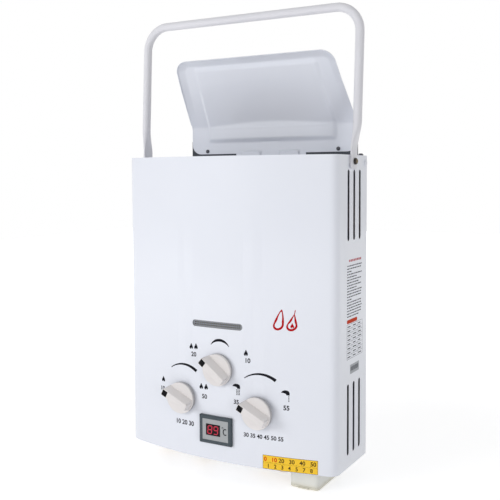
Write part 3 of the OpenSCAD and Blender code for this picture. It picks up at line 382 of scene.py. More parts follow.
def done(piece, name, material, body, replaced=(), angle=35):
    """Names a piece, gives it its finish and puts it on its body."""
    piece.name = name
    piece.data.name = name
    only(piece)
    settle()
    bpy.ops.object.shade_smooth_by_angle(angle=radians(angle))
    piece.data.materials.clear()
    piece.data.materials.append(material)
    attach(piece, body)
    if replaced:
        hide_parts(*replaced)


def inside_cover(w):
    """1 on the sheet's inner faces, from near half its thickness on, and 0 outside; there the white
    paint is turned into near-black painted shade.
    """
    skin_deep = 0.3*cover_sheet
    half_deep = 0.5*cover_sheet
    x = w.math("ABSOLUTE", w.part("X"))
    y = w.part("Y")
    z = w.part("Z")
    from_centre = w.math("SQRT", x*x + w.math("POWER", bow_centre - y, 2.0))
    beside = w.math("MAXIMUM", x - flank, 0.0)
    before = w.math("MAXIMUM", corner_centre - y, 0.0)
    round_corner = w.math("SQRT", beside*beside + before*before)
    in_corner = 1 - round_corner.step(corner_round - half_deep, corner_round - skin_deep)
    in_corner = w.math("MAXIMUM", in_corner, (flank - x).step(0.0, 0.1*MM))
    inner = in_corner
    for depth in (bow_round - from_centre, z - cabinet_foot, cabinet_top - z, half_width - x):
        inner = inner*depth.step(skin_deep, half_deep)
    return inner


enamel_low = (0.765, 0.79, 0.862)
enamel_high = (0.79, 0.813, 0.878)
# Painted shade: the cover's inner faces are white, but this near-black makes the vents and holes look
# dark inside.
painted_inner_shade = (0.004, 0.005, 0.010)


def enamel(low, high, inside=None):
    """Baked paint with a faint orange peel, turned to near-black painted shade where inside gives 1."""
    def paint(w):
        peel = w.noise(420)
        cloud = w.noise(9)
        colour = cloud.between(low, high)
        if inside:
            colour = inside(w).between(colour, painted_inner_shade)
        return {"Base Color": colour, "Roughness": 0.25 + cloud*0.10, "Coat Weight": 0.35 + cloud*0.1,
                "Coat Roughness": 0.12, "Normal": w.bump(peel, 0.10, 0.0004)}
    return paint


# The cover's enamel, with painted shade on its inner faces.
white_enamel = finish_named("white enamel", enamel(enamel_low, enamel_high, inside_cover))


def to_flange(place):
    """Where the fold's inner edge lies for a place on the cover's outline."""
    near = min(zip(cabinet_outline(0), cabinet_outline(cover_fold)),
               key=lambda pair: hypot(pair[0][0] - place.x, pair[0][1] - place.y))
    return Vector((*near[1], place.z))


cover = ring_of(cabinet_outline(0), cabinet_foot, "cover")
edit(cover)
pick("EDGE", lambda e: abs(middle(e).y) < 1e-6 and abs(middle(e).x) < 0.1)
bpy.ops.mesh.delete(type="EDGE")
pick_all()
extrude(z=cabinet_top - cabinet_foot)
for level in (cabinet_foot, cabinet_top):
    pick("VERT", lambda v: abs(v.co.z - level) < 1e-6)
    extrude()
    shift(to_flange)
pick("EDGE", lambda e: len(e.link_faces) == 2
     and abs(abs(e.link_faces[0].normal.z) - abs(e.link_faces[1].normal.z)) > 0.5)
bpy.ops.mesh.bevel(offset=fold_round, segments=3, affect="EDGES")
face_out()
leave()
front_face = max(cover.data.polygons, key=lambda p: p.area*(abs(p.center.x) < 0.02))
if front_face.normal.y > 0:
    cover.data.flip_normals()
apply_modifier(cover, "SOLIDIFY", thickness=cover_sheet, offset=-1)

vent_rows = ((cabinet_foot + 268*MM, 82*MM), (cabinet_foot + 16.4*MM, 84*MM))
vent_wide = 6*MM
vent_end_round = 2.95*MM
through = 0.4
punch_deep = 30*MM
punches = []
for i in range(3):
    row_y = -(22.8 + 17.6*i)*MM
    for low_edge, length in vent_rows:
        punches.append(rounded_block((0, row_y, low_edge + length/2), (through, vent_wide, length), "X",
                                     vent_end_round))
window_place = (-2.5*MM, -cabinet_depth, cabinet_foot + 165.8*MM)
punches.append(rounded_block(window_place, (70*MM, punch_deep, 8*MM), "Y", 3.9*MM))
display_level = cabinet_foot + 38.5*MM
display_middle = -3.4*MM
display_place = (display_middle, -cabinet_depth, display_level)
punches.append(rounded_block(display_place, (40.5*MM, punch_deep, 30*MM), "Y", 1*MM))
dial_places = {"flame": (-53.5*MM, cabinet_foot + 71.5*MM), "season": (0, cabinet_foot + 112.5*MM),
               "temperature": (52.5*MM, cabinet_foot + 67*MM)}
for x, level in dial_places.values():
    deselect()
    bpy.ops.mesh.primitive_cylinder_add(vertices=32, radius=6*MM, depth=40*MM, rotation=(pi/2, 0, 0),
                                        location=(x, -cabinet_depth, level))
    punches.append(bpy.context.object)
cut(cover, join(punches))
done(cover, "cover_shell", white_enamel, "cabinet", ["front_cover"], angle=30)

# ---------------------------------------------------------------- rain cap
# A plate of the same sheet that leans over the exhaust. Its rim is curled forward, a wide
# panel is pressed into it, and two screws hold its foot to a zinc bracket painted near-black as shade.
cap_middle = 14.5*MM
cap_back = -2.8*MM
cap_bend = cabinet_foot + 407.5*MM
cap_lean = radians(32)
cap_sheet = 0.8*MM
lid_length = 97*MM
foot_length = 35*MM
lid_corner = 17*MM
foot_corner = 13*MM
bend_soft = 4*MM
bend_round = 2*bend_soft/cap_lean
foot_half = 118.5*MM
lid_half = 110*MM
panel_low = -20*MM
panel_high = 86*MM
panel_half = 93*MM
panel_narrows = 7*MM
panel_border = 4.2*MM
panel_out = 2.3*MM
fold_bulge = 3.9*MM
fold_fade = 0.50
fold_soft = 0.6*MM
boss_middle = 27.5*MM
boss_half = 14.5*MM
boss_level = -31*MM
boss_border = 1.5*MM
boss_out = 2.2*MM
rim_wide = 9*MM
rim_out = 3.4*MM
rim_grows = 60*MM
rim_return = 1.0*MM
tongue_half = 51*MM
tongue_steps = 4
tongue_step = 1.3*MM


def ease(value):
    """0 below 0 and 1 above 1, smoothly between."""
    value = min(max(value, 0), 1)
    return value*value*(3 - 2*value)


def cap_half_width(s):
    """Half the width of the cap, s metres along it from the bend."""
    if s > lid_length - lid_corner:
        over = min(s - (lid_length - lid_corner), lid_corner)
        return lid_half - lid_corner + sqrt(lid_corner**2 - over*over)
    if s < -(foot_length - foot_corner):
        under = min(-s - (foot_length - foot_corner), foot_corner)
        return foot_half - foot_corner + sqrt(foot_corner**2 - under*under)
    return foot_half - (foot_half - lid_half)*max(s, 0)/(lid_length - lid_corner)


def cap_point(x, s, out):
    """A place on the cap: x across, s along from the bend, out in front of the sheet."""
    lean = cap_lean*min(max((s + bend_soft)/(2*bend_soft), 0), 1)
    y = -bend_round*(1 - cos(lean)) - max(s - bend_soft, 0)*sin(lean)
    z = min(s, -bend_soft) + bend_round*sin(lean) + max(s - bend_soft, 0)*cos(lean)
    return Vector((cap_middle + x, cap_back + y - out*cos(lean), cap_bend + z - out*sin(lean)))


def cap_relief(x, s):
    """How far the pressed panel, its arched fold, the two bosses and the rim stand forward."""
    half = panel_half - panel_narrows*max(s, 0)/panel_high
    sides = ease((half - abs(x))/panel_border)
    ends = ease((panel_high - s)/panel_border)*ease((s - panel_low)/panel_border)
    bulge = fold_bulge*max(1 - (x/half)**2, 0)
    if s < 0:
        fold = bulge
    else:
        left = bulge - fold_fade*s
        fold = (left + hypot(left, fold_soft))/2
    boss = ease((boss_half - abs(abs(x) - boss_middle))/boss_border)*ease((boss_level - s)/boss_border)
    corner_x = max(abs(x) - (cap_half_width(lid_length - lid_corner) - lid_corner), 0)
    corner_s = max(s - (lid_length - lid_corner), 0)
    inward = lid_corner - hypot(corner_x, corner_s) if corner_s > 0 else cap_half_width(s) - abs(x)
    rim = rim_out*max(1 - inward/rim_wide, 0)*min(max(s/rim_grows, 0), 1)
    return sides*ends*(panel_out + fold) + boss_out*boss + rim


cap_columns = 130
cap_rows = 90
corner_rows = 14
places = [-foot_length + foot_corner*(1 - cos(pi/2*i/corner_rows)) for i in range(corner_rows)]
straight_rows = cap_rows - 2*corner_rows
straight_length = lid_length - lid_corner + foot_length - foot_corner
places += [foot_corner - foot_length + straight_length*i/straight_rows for i in range(straight_rows)]
places += [lid_length - lid_corner + lid_corner*sin(pi/2*i/corner_rows) for i in range(corner_rows + 1)]
deselect()
bpy.ops.mesh.primitive_grid_add(x_subdivisions=cap_columns, y_subdivisions=cap_rows, size=2)
cap = bpy.context.object
for vertex in cap.data.vertices:
    s = places[round((vertex.co.y + 1)/2*cap_rows)]
    vertex.co = (vertex.co.x*cap_half_width(s), s, 0)
edit(cap)
pick("EDGE", lambda e: e.is_boundary and abs(middle(e).y + foot_length) < 1e-5
     and abs(middle(e).x) < tongue_half)
for i in range(tongue_steps):
    extrude(y=-tongue_step)
pick("EDGE", lambda e: e.is_boundary and middle(e).y > bend_soft)
extrude()
shift(lambda place: Vector((place.x, place.y, rim_return*min(max(place.y/rim_grows, 0), 1))))
face_out()
shift(lambda place: cap_point(place.x, place.y, place.z + cap_relief(place.x, place.y)))
leave()
lid_face = min(cap.data.polygons, key=lambda p: (p.center - cap_point(0, 40*MM, 0)).length)
if lid_face.normal.y > 0:
    cap.data.flip_normals()
apply_modifier(cap, "SOLIDIFY", thickness=cap_sheet, offset=-1)
# Painted shade: the cap gets the cover's white enamel made greyer, standing in for the shade the cap
# sits in.
shaded_cap_enamel = finish_named("white enamel in painted shade", enamel((0.68, 0.705, 0.78), (0.72, 0.745, 0.81)))
done(cap, "cap_plate", shaded_cap_enamel, "cabinet", ["rain_cap"], angle=40)


def refinish(names, material):
    """Gives CAD pieces a finish of their own."""
    for name in names:
        for part_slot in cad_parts[name].material_slots:
            part_slot.material = material


def screw_paint(w):
    """Blackened heads; the two on the cabinet's sides carry its white paint."""
    speck = w.noise(900, 2, 0.6)
    white = w.math("ABSOLUTE", w.part("X")).step(half_width - 0.2*MM, half_width - 0.1*MM)
    return {"Base Color": white.between((0.10, 0.10, 0.115), (0.76, 0.78, 0.84)),
            "Metallic": 0.9 - white*0.9, "Roughness": 0.34 + speck*0.12,
            "Normal": w.bump(speck, 0.1, 0.0003)}


def grained(low, high, grain, rough, spread=0.1, relief=None, coat=None, metallic=0.0, shine=0.5):
    """A finish whose colour, polish, relief and lacquer all follow one grain, given as for noise."""
    def paint(w):
        spots = w.noise(*grain)
        surface = {"Base Color": spots.between(low, high), "Roughness": rough + spots*spread,
                   "Metallic": metallic, "Specular IOR Level": shine}
        if relief:
            surface["Normal"] = w.bump(spots, *relief)
        if coat:
            surface["Coat Weight"] = coat[0] + spots*coat[1]
        return surface
    return paint


# Painted shade: the bracket's zinc is made near-black for the dark gap behind the cap's foot.
shaded_zinc_paint = grained((0.045, 0.050, 0.062), (0.075, 0.082, 0.098), (70, 3, 0.6), 0.5,
                     relief=(0.1, 0.0003), metallic=0.35)
refinish(["cap_bracket"], finish_named("zinc in painted shade", shaded_zinc_paint))
refinish(["cap_screws", "cover_screws"], finish_named("blackened steel", screw_paint))

# ---------------------------------------------------------------- carry handle
# White painted steel tube, bent twice. Its ends are squashed flat and drilled, and each
# turns on a shoulder bolt through the cabinet's side, with a pale washer between.
pivot = Vector((0, -47, 14.6))*MM
handle_lean = radians(-3.3)
tube_round = 5.3*MM
side_play = 0.2*MM
handle_side = half_width + side_play + tube_round
handle_bend = 30*MM
handle_reach = 180*MM
bend_steps = 14
deselect()
bpy.ops.mesh.primitive_circle_add(vertices=28, radius=tube_round, location=(0, 0, handle_reach),
                                  rotation=(0, pi/2, 0))
handle = bpy.context.object
settle()
edit(handle)
pick_all()
extrude(x=handle_side - handle_bend)
bend_centre = Vector((handle_side - handle_bend, 0, handle_reach - handle_bend))
bend_step = Matrix.Rotation(pi/2/bend_steps, 3, "Y")
for i in range(bend_steps):
    extrude()
    shift(lambda place: bend_centre + bend_step @ (place - bend_centre))
leg_levels = (135, 120, 105, 90, 75, 62, 52, 45, 40, 36, 32, 28, 24.5, 21.5, 19, 17, 15, 13, 10.5,
              -6, -7.2, -8, -8.5)
at_level = bend_centre.z
for level in leg_levels:
    extrude(z=level*MM - at_level)
    at_level = level*MM
bpy.ops.mesh.edge_face_add()


def leg_place(place):
    """Where a place on the round tube goes as the leg widens downwards and is squashed flat."""
    lower = ease((150*MM - place.z)/(100*MM))
    flat = ease((46*MM - place.z)/(33*MM))
    wide = 1 + 0.12*lower + 0.56*flat
    half = tube_round*(1 - 0.05*lower)*(1 - flat) + 1.2*MM*flat
    across = (place.x - handle_side)/tube_round
    across = copysign(abs(across)**(1 - 0.7*flat), across)
    corner = 1 - 0.10*ease((-6*MM - place.z)/(2.5*MM))
    washer_gap = 0.4*MM*flat
    beside = half_width + side_play + washer_gap + half*(1 + across)
    return Vector((beside, place.y*wide*corner, place.z))


pick("VERT", lambda v: v.co.z < bend_centre.z - 1*MM)
shift(leg_place)
leave()
apply_modifier(handle, "MIRROR", use_axis=(True, False, False), merge_threshold=1e-5)
edit(handle)
face_out()
leave()
deselect()
bpy.ops.mesh.primitive_cylinder_add(vertices=24, radius=2.65*MM, depth=310*MM, rotation=(0, pi/2, 0))
cut(handle, bpy.context.object)
edit(handle)
pick_all()
shift(lambda place: pivot + Matrix.Rotation(handle_lean, 3, "X") @ place)
leave()


def handle_paint(w):
    """Satin white powder coat with a fine orange peel."""
    peel = w.noise(900, 2, 0.6)
    cloud = w.noise(14)
    return {"Base Color": cloud.between((0.69, 0.69, 0.735), (0.75, 0.75, 0.79)),
            "Roughness": 0.30 + cloud*0.15, "Coat Weight": 0.2 + cloud*0.1,
            "Normal": w.bump(peel, 0.12, 0.0003)}


powder_coat = finish_named("powder coat", handle_paint)
done(handle, "handle_bar", powder_coat, "handle", ["carry_handle"], 45)


def bolt_paint(w):
    """Blackened bolt heads with a brassy worn socket at the pivot's axis."""
    off_y = w.math("POWER", w.part("Y") - pivot.y, 2.0)
    off_z = w.math("POWER", w.part("Z") - pivot.z, 2.0)
    rim = w.math("SQRT", off_y + off_z).step(1.8*MM, 2.3*MM)
    spots = w.noise(900, 2, 0.6)
    return {"Base Color": rim.between((0.40, 0.30, 0.15), (0.055, 0.05, 0.045)), "Metallic": 1.0,
            "Roughness": 0.32 + spots*0.2, "Normal": w.bump(spots, 0.15, 0.0003)}


refinish(["handle_bolts"], finish_named("bolt finish", bolt_paint))
nylon_paint = grained((0.74, 0.71, 0.66), (0.82, 0.80, 0.76), (120,), 0.45, relief=(0.05, 0.0004))
refinish(["handle_washers"], finish_named("nylon", nylon_paint))

# ---------------------------------------------------------------- dials
# Moulded off-white knobs: a disc with a rounded edge and a tapered grip bar across it,
# pressed on the valves' flatted spindles. A black square is let into the bar's tip.
dial_round = 19.25*MM
disc_thick = 5.5*MM
knob_high = 16.8*MM
knob_gap = 0.6*MM
dial_turns = {"flame": 154.5, "season": 141.5, "temperature": 154.0}
bar_tip = 20.2*MM
bar_tail = 17.75*MM
bar_half = 4.2*MM
bar_foot_half = 8*MM
sunk = 1*MM
pointer_side = 7.2*MM
bar_foot = [(bar_tip, bar_half), (bar_tip - 1.9*MM, bar_foot_half), (1.3*MM - bar_tail, bar_foot_half),
            (-bar_tail, bar_half)]
bar_foot += [(a, -b) for a, b in reversed(bar_foot)]


def dial_plastic(w):
    """Satin plastic, greyer towards the disc's foot by the cover, as painted shade."""
    speck = w.noise(1500)
    cloud = w.noise(60)
    body = cloud.between((0.74, 0.71, 0.705), (0.78, 0.75, 0.74))
    # Painted shade: the disc's side turns grey near the cover, where the gap's shadow falls.
    edge = (w.part("Y")*-1 + cloud*1*MM).step(112.8*MM, 114.2*MM)
    return {"Base Color": edge.between((0.40, 0.39, 0.40), body), "Roughness": 0.34 + cloud*0.1,
            "Normal": w.bump(speck, 0.06, 0.0002)}


knob_finish = finish_named("moulded off-white", dial_plastic)
for dial, (x, level) in dial_places.items():
    knob_back = bow(max(abs(x) - dial_round, 0)) - knob_gap
    deselect()
    bpy.ops.mesh.primitive_cylinder_add(vertices=96, radius=dial_round, depth=disc_thick,
                                        location=(0, 0, disc_thick/2))
    disc = bpy.context.object
    settle()
    edit(disc)
    pick("EDGE", lambda e: all(v.co.z > 0 for v in e.verts) and middle(e).length > 10*MM)
    bpy.ops.mesh.bevel(offset=1.0*MM, segments=4, affect="EDGES")
    leave()
    grip = ring_of(bar_foot, disc_thick - sunk, "grip", filled=True)
    edit(grip)
    pick_all()
    extrude(z=knob_high - disc_thick + sunk)
    shift(lambda place: Vector((place.x, copysign(bar_half, place.y), place.z)))
    face_out()
    bpy.ops.mesh.bevel(offset=0.3*MM, segments=2, affect="EDGES")
    leave()
    cut(disc, grip, "UNION")
    deselect()
    bpy.ops.mesh.primitive_cube_add(size=1, location=(bar_tip - bar_half, 0, knob_high),
                                    scale=(pointer_side, pointer_side, 0.8*MM))
    cut(disc, bpy.context.object)
    edit(disc)
    pick_all()
    facing = Matrix.Rotation(pi/2, 3, "X") @ Matrix.Rotation(radians(dial_turns[dial]), 3, "Z")
    shift(lambda place: Vector((x, knob_back, level)) + facing @ place)
    leave()
    done(disc, dial + "_dial_moulding", knob_finish, dial + "_dial", [dial + "_knob"], 22)

inlay_paint = grained((0.004, 0.004, 0.005), (0.010, 0.010, 0.012), (1800,), 0.6, 0.2,
                      relief=(0.08, 0.0002), shine=0.1)
refinish([dial + "_pointer" for dial in dial_places], finish_named("black inlay", inlay_paint))

# ---------------------------------------------------------------- display
# A pressed slate-grey bezel snaps into the cover round a brushed plate. Behind the plate's
# window sits the black two-digit module, with lit red segments under its dark face.
bezel_front = -113.5*MM
deselect()
bpy.ops.mesh.primitive_cube_add(size=1, location=(display_middle, bezel_front + 2.9*MM, display_level),
                                scale=(44.5*MM, 4.2*MM, 34*MM))
bezel = bpy.context.object
settle()
edit(bezel)
pick("FACE", lambda f: f.normal.y < -0.9)
for step_in, step_out in ((0.9, 0.8), (2.9, 0.0), (0.7, -0.8), (0.2, -0.9)):
    bpy.ops.mesh.inset(thickness=step_in*MM, depth=step_out*MM)
bpy.ops.mesh.delete(type="FACE")
pick("FACE", lambda f: f.normal.y > 0.9)
bpy.ops.mesh.inset(thickness=4.7*MM, depth=0.0)
bpy.ops.mesh.delete(type="FACE")
pick("EDGE", lambda e: e.is_boundary)
bpy.ops.mesh.bridge_edge_loops()
face_out()
pick("EDGE", lambda e: len(e.link_faces) == 2 and e.calc_face_angle() > 0.3)
bpy.ops.mesh.bevel(offset=0.18*MM, segments=2, affect="EDGES")
leave()
slate_paint = grained((0.045, 0.058, 0.068), (0.085, 0.103, 0.117), (300, 3, 0.6, (1, 8, 1)), 0.32,
                      0.15, relief=(0.08, 0.0003), metallic=0.7)
slate_lacquer = finish_named("slate lacquer", slate_paint)
done(bezel, "bezel_frame", slate_lacquer, "cabinet", ["display_bezel"], 20)
plate_paint = grained((0.30, 0.315, 0.325), (0.43, 0.445, 0.455), (140, 3, 0.7, (0.6, 1, 30)), 0.38,
                      0.15, relief=(0.15, 0.0002), metallic=0.55)
refinish(["display_plate"], finish_named("brushed plate", plate_paint))
smoked_paint = grained((0.006, 0.003, 0.004), (0.012, 0.006, 0.008), (500,), 0.35, shine=0.15)
refinish(["digit_module"], finish_named("smoked window", smoked_paint))


def lit_red(w):
    speck = w.noise(2500)
    colour = speck.between((0.42, 0.010, 0.035), (0.52, 0.016, 0.05))
    return {"Base Color": colour, "Roughness": 0.3 + speck*0.1, "Emission Color": colour,
            "Emission Strength": 0.2}


digit_front = -113.1*MM
digit_high = 9.4*MM
digit_wide = 5.4*MM
digit_lean = 0.10
segment = 0.62*MM
segment_skin = 0.05*MM
segment_places = {"a": (0, 2, 1), "b": (1, 1.5, 0), "c": (1, 0.5, 0), "d": (0, 0, 1), "e": (-1, 0.5, 0),
                  "f": (-1, 1.5, 0), "g": (0, 1, 1)}
lit = []
for digit_x, shown in ((-10.7*MM, "abcdefg"), (-2.3*MM, "abcdfg")):
    for key in shown:
        side, row, flat = segment_places[key]
        long = (digit_wide if flat else digit_high/2) - 2.4*segment
        shape = [(-long/2 - segment, 0), (-long/2, segment), (long/2, segment), (long/2 + segment, 0),
                 (long/2, -segment), (-long/2, -segment)]
        shape = shape if flat else [(b, a) for a, b in shape]
        up = (row - 1)*digit_high/2
        place_x = digit_x + side*digit_wide/2
        corners = [(place_x + a + (up + b)*digit_lean, up + b) for a, b in shape]
        lit.append(ring_of(corners, 0, "segment", True))
digits = join(lit)
edit(digits)
pick_all()
shift(lambda place: Vector((place.x, digit_front - 0.06*MM, display_level + place.y)))
face_out()
leave()
if digits.data.polygons[0].normal.y > 0:
    digits.data.flip_normals()
apply_modifier(digits, "SOLIDIFY", thickness=segment_skin, offset=-1)
done(digits, "lit_segments", finish_named("lit segments", lit_red), "cabinet")

# ---------------------------------------------------------------- printing
# Screen-printed marks on the bowed front and the right side: setting arcs, pictograms,
# plain numbers and ruled fields in black, one red mark, and a yellow sticker.
ink_lift = 0.05*MM


def on_front(u, v):
    """The place u across and v above the cabinet's foot, in mm, on the bowed front."""
    return Vector((u*MM, bow(u*MM) - ink_lift, cabinet_foot + v*MM))


def over_front(u, v):
    """The same place on a sticker there."""
    return on_front(u, v) - Vector((0, ink_lift, 0))


def on_side(u, v):
    """The place u from the back and v above the foot, in mm, on the right side."""
    return Vector((half_width + ink_lift, u*MM, cabinet_foot + v*MM))


def over_side(u, v):
    return on_side(u, v) + Vector((ink_lift, 0, 0))


def ink_face(points):
    return ring_of(points, 0, "ink", filled=True)


def numbers(text, u, v, size, bold=0.027):
    """Plain numbers centred on u, v."""
    deselect()
    bpy.ops.object.text_add(location=(0, 0, 0))
    label = bpy.context.object
    label.data.body = text
    label.data.size = size
    label.data.align_x = "CENTER"
    label.data.align_y = "CENTER"
    label.data.offset = bold*size
    bpy.ops.object.convert(target="MESH")
    label = bpy.context.object
    for vertex in label.data.vertices:
        vertex.co = (vertex.co.x + u, vertex.co.y + v, 0)
    return label


def bars(rectangles):
    """Small filled rectangles, each given by its left, low, right and high side."""
    deselect()
    bpy.ops.mesh.primitive_plane_add(size=1)
    piece = bpy.context.object
    edit(piece)
    for i in range(len(rectangles) - 1):
        bpy.ops.mesh.primitive_plane_add(size=1, location=(i + 2, 0, 0))
    leave()
    for i, (left, low, right, high) in enumerate(rectangles):
        corners = piece.data.vertices[4*i:4*i + 4]
        middle_x = sum(v.co.x for v in corners)/4
        for vertex in corners:
            across = right if vertex.co.x > middle_x else left
            vertex.co = (across, high if vertex.co.y > 0 else low, 0)
    return piece


def printed(pieces, name, finish, surface):
    """Lays flat shapes, drawn in mm, on a surface as a thin skin of ink."""
    piece = join(pieces)
    apply_modifier(piece, "TRIANGULATE")
    for vertex in piece.data.vertices:
        vertex.co = surface(vertex.co.x, vertex.co.y)
    edit(piece)
    pick_all()
    bpy.ops.mesh.remove_doubles(threshold=1e-6)
    leave()
    outside = Vector((1, 0, 0)) if surface in (on_side, over_side) else Vector((0, -1, 0))
    for face in piece.data.polygons:
        if face.normal.dot(outside) < 0:
            face.flip()
    apply_modifier(piece, "SOLIDIFY", thickness=ink_lift*0.9, offset=-1)
    done(piece, name, finish, "cabinet", (), 20)


def arc_shape(centre, radius, start, end, thick_start, thick_end, middle_thick=None):
    """A setting arc whose thickness runs from one end to the other, or swells between."""
    steps = 28
    outer, inner = [], []
    for i in range(steps + 1):
        share = i/steps
        turn = radians(start + (end - start)*share)
        thick = thick_start + (thick_end - thick_start)*share
        if middle_thick:
            thick = thick_start + (middle_thick - thick_start)*sin(pi*share)
        for line, far in ((outer, radius + thick/2), (inner, radius - thick/2)):
            line.append((centre[0] + far*cos(turn), centre[1] + far*sin(turn)))
    return ink_face(outer + inner[::-1])


flame_outline = [(-0.16, -1), (-0.70, -0.85), (-0.98, -0.35), (-0.86, 0.15), (-0.56, 0.55),
                 (-0.30, 1.05), (-0.10, 1.6), (0.12, 1.6), (0.38, 1.05), (0.76, 0.45), (0.98, -0.1),
                 (0.88, -0.6), (0.40, -1), (0.28, -0.78), (0.12, -0.5), (0.04, -0.3), (-0.08, -0.5),
                 (-0.16, -0.78)]


def flame_shape(u, v, size):
    return ink_face([(u + a*size, v + b*size) for a, b in flame_outline])


def shower_shape(u, v, streams):
    head = [(-5.2, 0.2), (-3.6, 2.2), (-1.0, 3.3), (1.9, 3.3), (4.3, 2.4), (5.3, 0.2), (5.1, -2.4),
            (1.4, -2.4), (0.8, -0.9), (-1.4, -0.1)]
    drops = []
    for i in range(streams):
        left = u + 4.2 - 1.75*i
        drops += [(left - 0.5, v - 4.5 - 1.8*j, left + 0.5, v - 3.2 - 1.8*j) for j in range(4)]
    return [ink_face([(u + a, v + b) for a, b in head]), bars(drops)]


def ink(name, dark, light):
    """Matt printing ink, slightly thinner in spots."""
    return finish_named(name, grained(dark, light, (700, 3, 0.7), 0.6, 0.2, shine=0.06))


def hoop(places, thick):
    """A closed line of the given thickness, inside the places that it runs through."""
    middle_u = sum(u for u, v in places)/len(places)
    middle_v = sum(v for u, v in places)/len(places)
    inner = []
    for u, v in places:
        far = hypot(u - middle_u, v - middle_v)
        inner.append((u + (middle_u - u)*thick/far, v + (middle_v - v)*thick/far))
    strips = []
    for i in range(len(places)):
        j = (i + 1) % len(places)
        strips.append(ink_face([places[i], places[j], inner[j], inner[i]]))
    return strips


black_ink = ink("black ink", (0.006, 0.006, 0.009), (0.018, 0.018, 0.024))
arc_round = 34
flame_places = ((-39.8, 135.6), (-32.6, 136.0), (37, 135.2), (-85.6, 88.2), (-25.2, 88.2), (-18.0, 88.2))
number_places = (("20", -36, 126.6, 7.6), ("10", 39, 126.9, 7.6), ("10", -87, 77.0, 7.2),
                 ("50", -20.5, 76.6, 7.4), ("35", 24, 75.8, 7.2), ("55", 87, 75.6, 7.6),
                 ("10 20 30", -51, 39.8, 8.0), ("30 35 40 45 50 55", 58.5, 38.2, 6.8))
marks = [arc_shape((1.8, 132.6), 15.3, 144, 34, 0.6, 0.6, 3.3),
         arc_shape((-51.8, 78.6), arc_round, 126, 54.6, 0.9, 4.0),
         arc_shape((54.8, 78.6), arc_round, 126, 55, 0.9, 4.0)]
marks += [flame_shape(u, v, 2.75) for u, v in flame_places]
marks += shower_shape(24.0, 94.6, 3) + shower_shape(85.7, 93.2, 1)
marks += [numbers(*number) for number in number_places]
printed(marks, "dial_marks", black_ink, on_front)


def on_plate(u, v):
    """The place u across and v above the foot, in mm, on the display's plate."""
    return Vector((u*MM, bezel_front + 0.55*MM, cabinet_foot + v*MM))


degree_turns = [radians(a) for a in range(52, 309, 16)]
letter = [(10.6 + 3.3*cos(a), 38.3 + 4.1*sin(a)) for a in degree_turns]
letter += [(10.6 + 2.0*cos(a), 38.3 + 2.9*sin(a)) for a in reversed(degree_turns)]
circle = [(7.0 + 1.25*cos(pi*i/8), 43.0 + 1.25*sin(pi*i/8)) for i in range(16)]
printed([ink_face(letter)] + hoop(circle, 0.5), "degree_mark", black_ink, on_plate)

# The red mark: a slanted drop and flame, drawn as outlines.
mark_level = 171.8
mark_middle = 178
mark_foot = 6.2
mark_lean = 0.22
mark_line = 2.7


def red_outline(u, wide, tall, pinch, pinch_power, sway):
    """A round foot and a drawn-out tip that slants to the right, with its middle at u."""
    places = []
    for i in range(28):
        turn = 2*pi*i/28 + pi/2
        rise = max(sin(turn), 0)
        up = mark_level + (tall if rise > 0 else mark_foot)*sin(turn)
        across = wide*cos(turn)*(1 - pinch*rise**pinch_power) - sway*sin(2*turn)*rise
        places.append((u + across + (up - mark_middle)*mark_lean, up))
    return places


red_ink = ink("red ink", (0.40, 0.003, 0.006), (0.48, 0.005, 0.010))
drop = hoop(red_outline(79, 6.4, 18.5, 0.55, 1.4, 0), mark_line)
blaze = hoop(red_outline(95, 6.6, 18.7, 0.75, 1, 2.2), mark_line)
printed(drop + blaze + [flame_shape(94.0, 171.4, 2.3)], "red_mark", red_ink, on_front)

# The yellow sticker: a plain ruled scale.
sticker_left = 58
sticker_right = 123.5
sticker_low = 1.2
sticker_high = 17.6
sticker_rule = 0.35
tick_foot = 8.5
tick_gap = 1.6
columns = 12
column = (sticker_right - sticker_left)/columns
yellow_paint = grained((0.86, 0.52, 0.004), (0.95, 0.60, 0.006), (60,), 0.34, coat=(0.2, 0.1))
sides = [(sticker_left + column*i, sticker_left + column*(i + 1)) for i in range(columns)]
film = bars([(left, sticker_low, right, sticker_high) for left, right in sides])
printed([film], "yellow_sticker", finish_named("yellow film", yellow_paint), on_front)
ruler = [numbers("20   30   40   50", 99.5, 12.7, 6.8, 0.02)]
ruler.append(numbers("1   2   3   4   5   7   8", 90.5, 4.9, 6.4, 0.02))
ticks = []
for i in range(40):
    left = sticker_left + 1 + tick_gap*i
    ticks.append((left, tick_foot, left + sticker_rule, tick_foot + (1.5 if i % 5 == 0 else 0.8)))
for left, right in sides:
    ticks.append((left, sticker_low, right, sticker_low + sticker_rule))
    ticks.append((left, sticker_high - sticker_rule, right, sticker_high))
ticks.append((sticker_left, sticker_low, sticker_left + sticker_rule, sticker_high))
ticks.append((sticker_right - sticker_rule, sticker_low, sticker_right, sticker_high))
ruler.append(bars(ticks))
brown_ink = ink("brown ink", (0.035, 0.022, 0.01), (0.07, 0.04, 0.014))
printed(ruler, "sticker_scale", brown_ink, over_front)
orange_ink = ink("orange-red ink", (0.62, 0.02, 0.004), (0.70, 0.035, 0.006))
printed([numbers("0   10", 67.5, 12.7, 6.8, 0.024)], "sticker_start", orange_ink, over_front)

